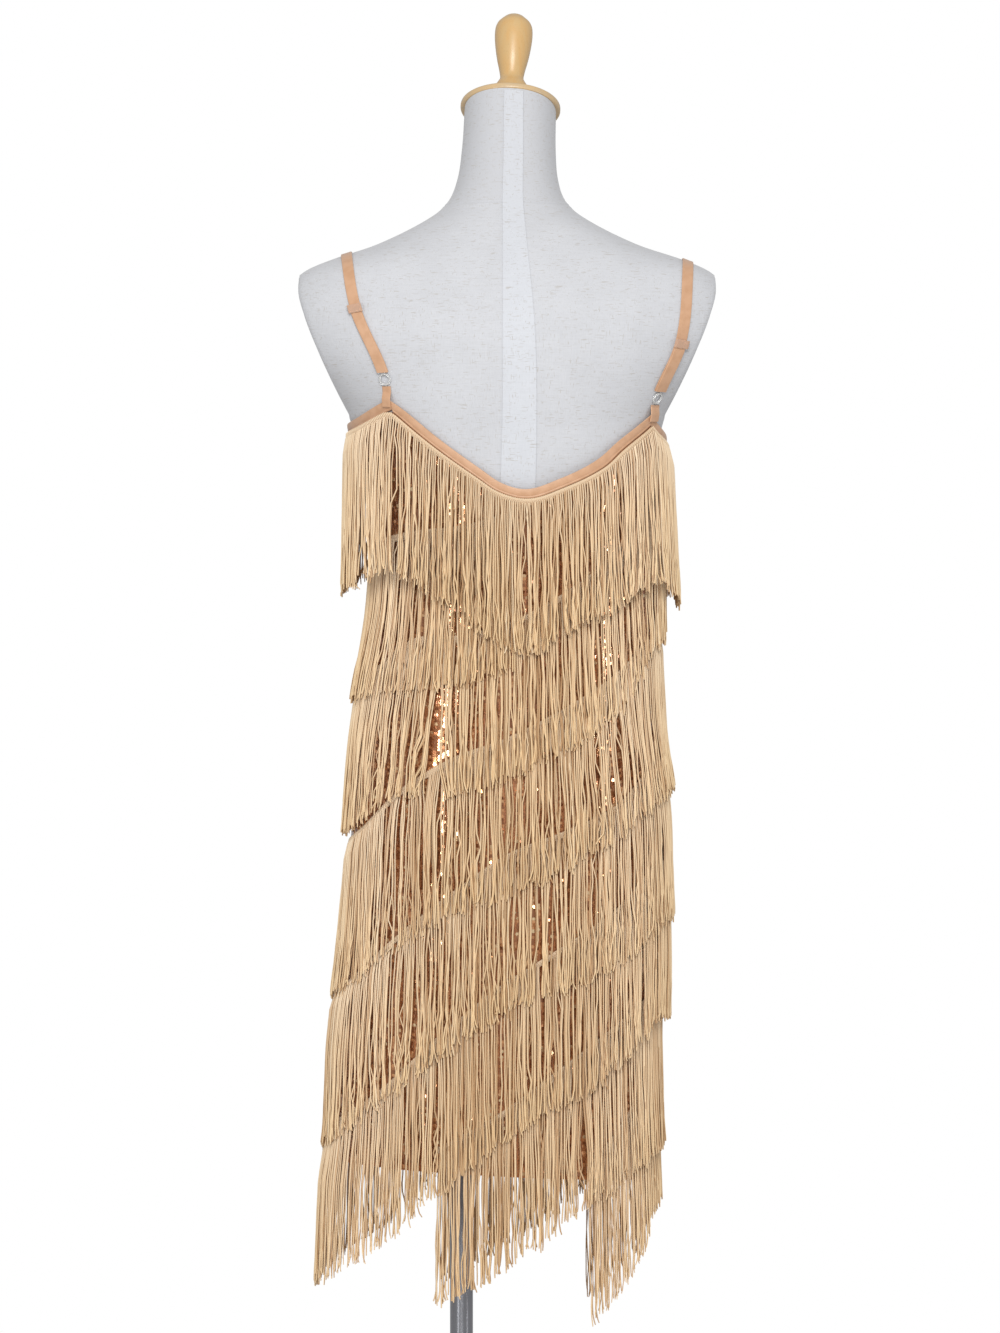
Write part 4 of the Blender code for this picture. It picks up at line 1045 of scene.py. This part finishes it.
def layer_lines(rng, tier, side, layer, places, fields, openings):
    """Middle lines of one layer of a tier's cords, with the direction away from the cloth."""
    row = TIERS[tier]
    count = len(places)
    inner = header_clear(tier) + HEADER_THICK
    x = places + rng.uniform(-0.3, 0.3, count) * CORD_PITCH + layer * CORD_PITCH / 2
    share = (row.start + x / PANEL_WIDTH).clip(row.start + 0.003, row.end - 0.003)
    root = header_height(tier, side, share) - HEADER_HEIGHT + CORD_START
    length = even_steps(FIRST_LENGTHS, share) if tier == 1 and side == BACK else FRINGE_LENGTH
    length = length - HEADER_HEIGHT + CORD_START + fields["length"] + rng.normal(0, CORD_UNEVEN, count)
    run = np.broadcast_to(CORD_LEVELS, (count, len(CORD_LEVELS)))
    depth = run * length[:, None]
    slack = run**1.5
    loose, crooked = (0.4, HEM_WANDER) if tier in HEM_TIERS else (1, CORD_WANDER)
    pull = fields["pull"] * loose
    aside = (fields["middle"] - x)[:, None] * pull[:, None] * slack
    strays = rng.choice([0, 1], count, p=[0.95, 0.05]) * rng.uniform(-STRAY_REACH, STRAY_REACH, count)
    aside = aside + (fields["sway"] + strays * loose + rng.normal(0, CORD_SWAY, count))[:, None] * slack
    aside = aside + wander(rng, count, CORD_LEVELS, crooked)
    hooks = rng.choice([0, 0, 0, -1, 1], count) * rng.uniform(*HOOK_REACH, count)
    aside = aside + hooks[:, None] * np.clip((run - 0.93) / 0.07, 0, 1) ** 2
    middle_x = dress_point(side, share, root)[:, :1] - BODY_X
    for lean in LEANS:
        if side == BACK and lean.tier == tier:
            inside = np.clip((middle_x - lean.first) / (lean.last - lean.first), 0, 1)
            near = inside if lean.shift < 0 else 1 - inside
            near = near * (middle_x > lean.first) * (middle_x < lean.last)
            aside = aside + lean.shift * near * run**lean.power
    aside = aside + parted(middle_x + aside, root[:, None] - depth, openings)
    lift_top, lift_end = (even_steps(lifts, share)[:, None] for lifts in (row.lift_tops, row.lift_ends))
    bend = np.clip(depth / BEND_DEPTH, 0, 1)
    start_lift = inner - UNDER_DROP * (1 - layer)
    bent_lift = np.maximum(lift_top, inner) + BEND_CLEAR
    lift = start_lift + (bent_lift - start_lift) * bend + (lift_end - lift_top) * run
    lift = lift + (layer - 0.6) * LAYER_LIFT * bend + wander(rng, count, CORD_LEVELS, LIFT_WANDER)
    lift = lift + fields["lift"][:, None] * slack
    moved = (share[:, None] + aside / PANEL_WIDTH).clip(-SEAM_SLACK, 1 + SEAM_SLACK)
    line = hang_point(side, moved, root[:, None] * np.ones_like(depth), depth, lift, row.cling)
    return line, dress_outward(side, share, root), run


def fringe_piece(tier, side_name, finish):
    """One tier on one panel: its header, and two layers of cords that lie in loose clumps."""
    side = SIDES[side_name]
    row = TIERS[tier]
    rng = np.random.default_rng(100 * tier + (side == FRONT))
    points, faces, rows = header_mesh(tier, side, row.start, row.end)
    width = (row.end - row.start) * PANEL_WIDTH
    count = int(width / CORD_PITCH) // 1
    openings = seeded_partings(rng, tier, side) + (PARTINGS if side == BACK else [])
    places, fields = clump_fields(rng, width, count)
    for layer, darker, kept_share in ((0, row.under_shade, row.under_kept), (1, 0.0, row.over_kept)):
        line, away, run = layer_lines(rng, tier, side, layer, places, fields, openings)
        rim = np.abs(places - fields["middle"]) / fields["half"]
        kept = rng.uniform(0, 1, count) < kept_share * np.where(rim > 0.72, 1 - 0.55 * (1 - layer), 1)
        # Each cord's tone is its clump's and its own, lowered by painted shade on the under layer and on
        # shaded tiers.
        tone = 0.5 - darker + fields["tone"] + rng.normal(0, 0.15, count) - row.shade
        tone = tone.clip(0, 1)
        radius = CORD_RADIUS * rng.uniform(0.82, 1.08, count)[:, None]
        radius = radius * np.where(CORD_LEVELS > 0.99, 0.8, 1.0)
        radius = radius * np.where(line[..., 2] < HEM_LEFT, 0.90, 1.0)
        cords = cord_mesh(line[kept], away[kept], tone[kept], run[kept], radius[kept], len(points))
        faces += cords[1]
        points, rows = np.concatenate((points, cords[0])), np.concatenate((rows, cords[2]))
    name = f"fringe_{tier}_{side_name}"
    made = new_piece(name, points, faces, finish, sharp_over=80)
    strand = made.data.attributes.new("strand", "FLOAT_VECTOR", "POINT")
    strand.data.foreach_set("vector", rows.astype(np.float32).ravel())
    return made


rayon = cord_finish()
fringes = {side: [fringe_piece(tier, name, rayon) for tier in TIERS] for name, side in SIDES.items()}


# The shoulder straps are stretch satin tape. Each runs from the front neckline over the shoulder to a
# clear ring on the back, and its end doubles back from the ring to a skin-coloured slider.
Strap = namedtuple("Strap", "side top tab ring slider front")
STRAP_WIDTH = 0.0105
STRAP_THICK = 0.0012
STRAP_CLEAR = 0.0006
STRAP_LAYER_GAP = 0.0004
TAB_WIDTH = 0.008
RING_RADIUS, RING_WIRE = 0.0052, 0.0011
SLIDER_WIDTH, SLIDER_HEIGHT = 0.0135, 0.0075
SEWN_RISE = 0.012
SEWN_LIFT = 0.0008
TABS = [Edge(-0.1128, 1.2180), Edge(0.1378, 1.2050)]
FRONT_ENDS = [Edge(-0.1180, 1.2270), Edge(0.1180, 1.2270)]
STRAPS = [
    Strap("left", -0.1536, TABS[0], Edge(-0.1152, 1.2438), Edge(-0.1430, 1.3100), FRONT_ENDS[0]),
    Strap("right", 0.1728, TABS[1], Edge(0.1421, 1.2276), Edge(0.1640, 1.2784), FRONT_ENDS[1]),
]
TAPE_SECTION = [(-0.5, 0.3), (-0.46, 0.85), (-0.36, 1.0), (-0.2, 0.9), (0.0, 0.94), (0.2, 0.9), (0.36, 1.0)]
TAPE_SECTION += [(0.46, 0.85), (0.5, 0.3), (0.46, 0.0), (0.0, 0.0), (-0.46, 0.0)]
CLEAR_COLOUR, CLEAR_WORN = (0.93, 0.93, 0.92), (0.84, 0.84, 0.83)
NUDE_COLOUR, NUDE_WORN = (0.640, 0.400, 0.265), (0.72, 0.50, 0.38)


def ridge_height(across):
    """The height of the shoulder's ridge at a distance from the middle."""
    heights = np.linspace(1.3330, 1.4080, 120)
    return float(np.interp(-abs(across), -body_width(heights), heights))


def body_surface(across, height, side):
    back, front = body_back(height), body_front(height)
    reach = np.minimum(np.abs(across) / body_width(height), 1.0)
    depth = (front + back) / 2 * (1 - reach**SECTION_POWER) ** (1 / SECTION_POWER)
    return (front - back) / 2 + side * depth


def turn_at(strap, height):
    """Where along the back of a strap a height lies."""
    top = ridge_height(strap.top)
    return -math.sqrt((top - height) / (top - strap.ring.height))


def strap_line(strap, offset, turns):
    """Points of a line beside the strap's middle. A turn is -1 at its ring and 1 at its front end."""
    middle_top = ridge_height(strap.top)
    ridge = Edge(strap.top, middle_top)
    points = []
    for side, rows, end, sewn in (
        (BACK, [strap.tab, strap.ring, strap.slider, ridge], strap.ring, strap.tab),
        (FRONT, [strap.front, ridge], strap.front, strap.front),
    ):
        line = smooth([row.height for row in rows], [row.across for row in rows])
        some = np.array([t for t in turns if (t > 0) == (side == FRONT)])
        if not len(some):
            continue
        top = ridge_height(strap.top + offset)
        height = top - (top - end.height) * some * some
        across = line(height - (top - middle_top) * np.maximum(1 - np.abs(some), 0)) + offset
        point = np.stack([BODY_X + across, body_surface(across, height, side), height], -1)
        peak = top_height(side, share_at(sewn.across, height))
        share = np.clip((peak + SEWN_RISE - height) / SEWN_RISE, 0, 1)
        share = (share * share * (3 - 2 * share))[:, None]
        on_dress = dress_point(side, share_at(across, height), height, BINDING_PROUD + SEWN_LIFT)
        points.append(point + (on_dress - point) * share)
    return np.concatenate(points)


def tape_frames(strap, turns, width=STRAP_WIDTH):
    """Both edges of a tape along a strap, and the direction away from the body at each station."""
    left, right = strap_line(strap, -width / 2, turns), strap_line(strap, width / 2, turns)
    along = np.gradient(left + right, axis=0)
    return left, right, unit(np.cross(right - left, along))


def tape_rings(strap, turns, gap, width):
    left, right, away = tape_frames(strap, turns, width)
    rings = [left + (right - left) * (a + 0.5) + away * (gap + STRAP_THICK * out) for a, out in TAPE_SECTION]
    return np.stack(rings, 1)


def wire_rings(strap):
    """Rings of points round the wire of a strap's ring, which lies flat in the tape's end."""
    left, right, away = tape_frames(strap, [-1.03, -1.0, -0.97])
    middle = (left[1] + right[1]) / 2 + away[1] * (STRAP_CLEAR + RING_WIRE)
    across = unit(right[1] - left[1])
    up = np.cross(across, away[1])
    angle = full_turn(48)[:, None, None]
    turn = full_turn(12)[None, :, None]
    spoke = across * np.cos(angle) + up * np.sin(angle)
    wire = spoke * np.cos(turn) + away[1] * np.sin(turn)
    return middle + spoke * RING_RADIUS + wire * RING_WIRE


def nylon_finish(name, colour, worn, clearness):
    """Moulded nylon, clear or skin coloured, that is scuffed on its high places."""
    made = new_finish(name, colour, 0.16, Transmission_Weight=clearness, IOR=1.2)
    scuffs = grain(made, 0.0006, 3)
    drive(made, "Base Color", blend(scuffs, colour, worn))
    drive(made, "Roughness", scaled(scuffs, 0.1, 0.05))
    drive(made, "Normal", raise_by(scuffs, 0.000008))
    return made


clear = nylon_finish("clear_nylon", CLEAR_COLOUR, CLEAR_WORN, 0.6)
nude = nylon_finish("nude_nylon", NUDE_COLOUR, NUDE_WORN, 0.3)
for strap in STRAPS:
    reach = RING_RADIUS + RING_WIRE + TOUCH_GAP
    above, below = (turn_at(strap, strap.ring.height + r) for r in (reach, -reach))
    foot, middle = turn_at(strap, strap.tab.height), turn_at(strap, strap.slider.height)
    up, down = (turn_at(strap, strap.slider.height + SLIDER_HEIGHT / 2 * sign) for sign in (1, -1))
    over = STRAP_CLEAR + STRAP_THICK + STRAP_LAYER_GAP
    slider_clear = over + STRAP_THICK + TOUCH_GAP
    for name, turns, clearance, width, finish, slot in (
        ("strap", np.linspace(above, 0.999, 110), STRAP_CLEAR, STRAP_WIDTH, satin, "satin_tape"),
        ("strap_return", np.linspace(above, middle, 40), over, STRAP_WIDTH, satin, "satin_tape"),
        ("strap_tab", np.linspace(foot, below, 24), STRAP_CLEAR, TAB_WIDTH, satin, "satin_tape"),
        ("strap_slider", np.linspace(down, up, 9), slider_clear, SLIDER_WIDTH, nude, "clear_plastic"),
    ):
        rings = tape_rings(strap, turns, clearance, width)
        tube_piece(f"{name}_{strap.side}", rings, finish)
    rings = wire_rings(strap)
    tube_piece(f"strap_ring_{strap.side}", rings, clear, joined=True)

for side, panel in panels.items():
    trims = [sequins[side], *bindings[side], *fringes[side]]


# The room is a pale floor under a white sky, lit by a broad soft lamp high in front. A small lamp on
# each side of the camera stands level with the dress, so that the sequins flash.
FLOOR_COLOUR = (0.80, 0.80, 0.80)
FLOOR_SHADE = (0.77, 0.77, 0.775)
SKY_LIGHT = 0.50
CAMERA_PLACE = (0.03696, -5.5, 0.97166)
CAMERA_LENS = 36 * 5.5 / 1.2797

floor_finish = new_finish("pale_floor", FLOOR_COLOUR, 0.7)
floor_clouds = blend(grain(floor_finish, 0.05, 3), FLOOR_COLOUR, FLOOR_SHADE)
drive(floor_finish, "Base Color", floor_clouds)
bpy.ops.mesh.primitive_circle_add(vertices=96, radius=1.4, fill_type="NGON", location=(0, 0, 0))
floor = bpy.context.object
floor.name = "floor"
floor.data.materials.append(floor_finish)

world = bpy.data.worlds.new("white_room")
world.use_nodes = True
sky = world.node_tree.nodes["Background"]
sky.inputs["Color"].default_value = (1, 1, 1, 1)
seen = world.node_tree.nodes.new("ShaderNodeLightPath").outputs["Is Camera Ray"]
strength = world.node_tree.nodes.new("ShaderNodeMapRange")
strength.inputs["To Min"].default_value = SKY_LIGHT
strength.inputs["To Max"].default_value = 1.0
world.node_tree.links.new(seen, strength.inputs["Value"])
world.node_tree.links.new(strength.outputs["Result"], sky.inputs["Strength"])
bpy.context.scene.world = world


def add_lamp(name, place, width, height, power):
    """A broad lamp that faces the middle of the dress."""
    light = bpy.data.lights.new(name, "AREA")
    light.shape = "ELLIPSE"
    light.size = width
    light.size_y = height
    light.energy = power
    lamp = bpy.data.objects.new(name, light)
    bpy.context.scene.collection.objects.link(lamp)
    lamp.location = place
    aim = np.array([BODY_X, 0.0, 0.95]) - np.array(place)
    tip, turn = math.atan2(math.hypot(aim[0], aim[1]), -aim[2]), math.atan2(aim[1], aim[0])
    lamp.rotation_euler = (tip, 0, turn - math.pi / 2)


add_lamp("key_lamp", (-1.9, -3.02, 0.75), 0.80, 0.48, 16)
add_lamp("side_lamp", (3.14, -1.86, 0.74), 0.62, 0.40, 9)
add_lamp("front_lamp", (0.1, -4.3, 3.0), 2.4, 2.0, 149)

camera_data = bpy.data.cameras.new("camera")
camera_data.lens = CAMERA_LENS
camera_data.sensor_width = 36
camera_data.sensor_fit = "AUTO"
camera = bpy.data.objects.new("camera", camera_data)
bpy.context.scene.collection.objects.link(camera)
camera.location = CAMERA_PLACE
camera.rotation_euler = (math.pi / 2, 0, 0)
bpy.context.scene.camera = camera
bpy.context.scene.view_settings.view_transform = "Standard"
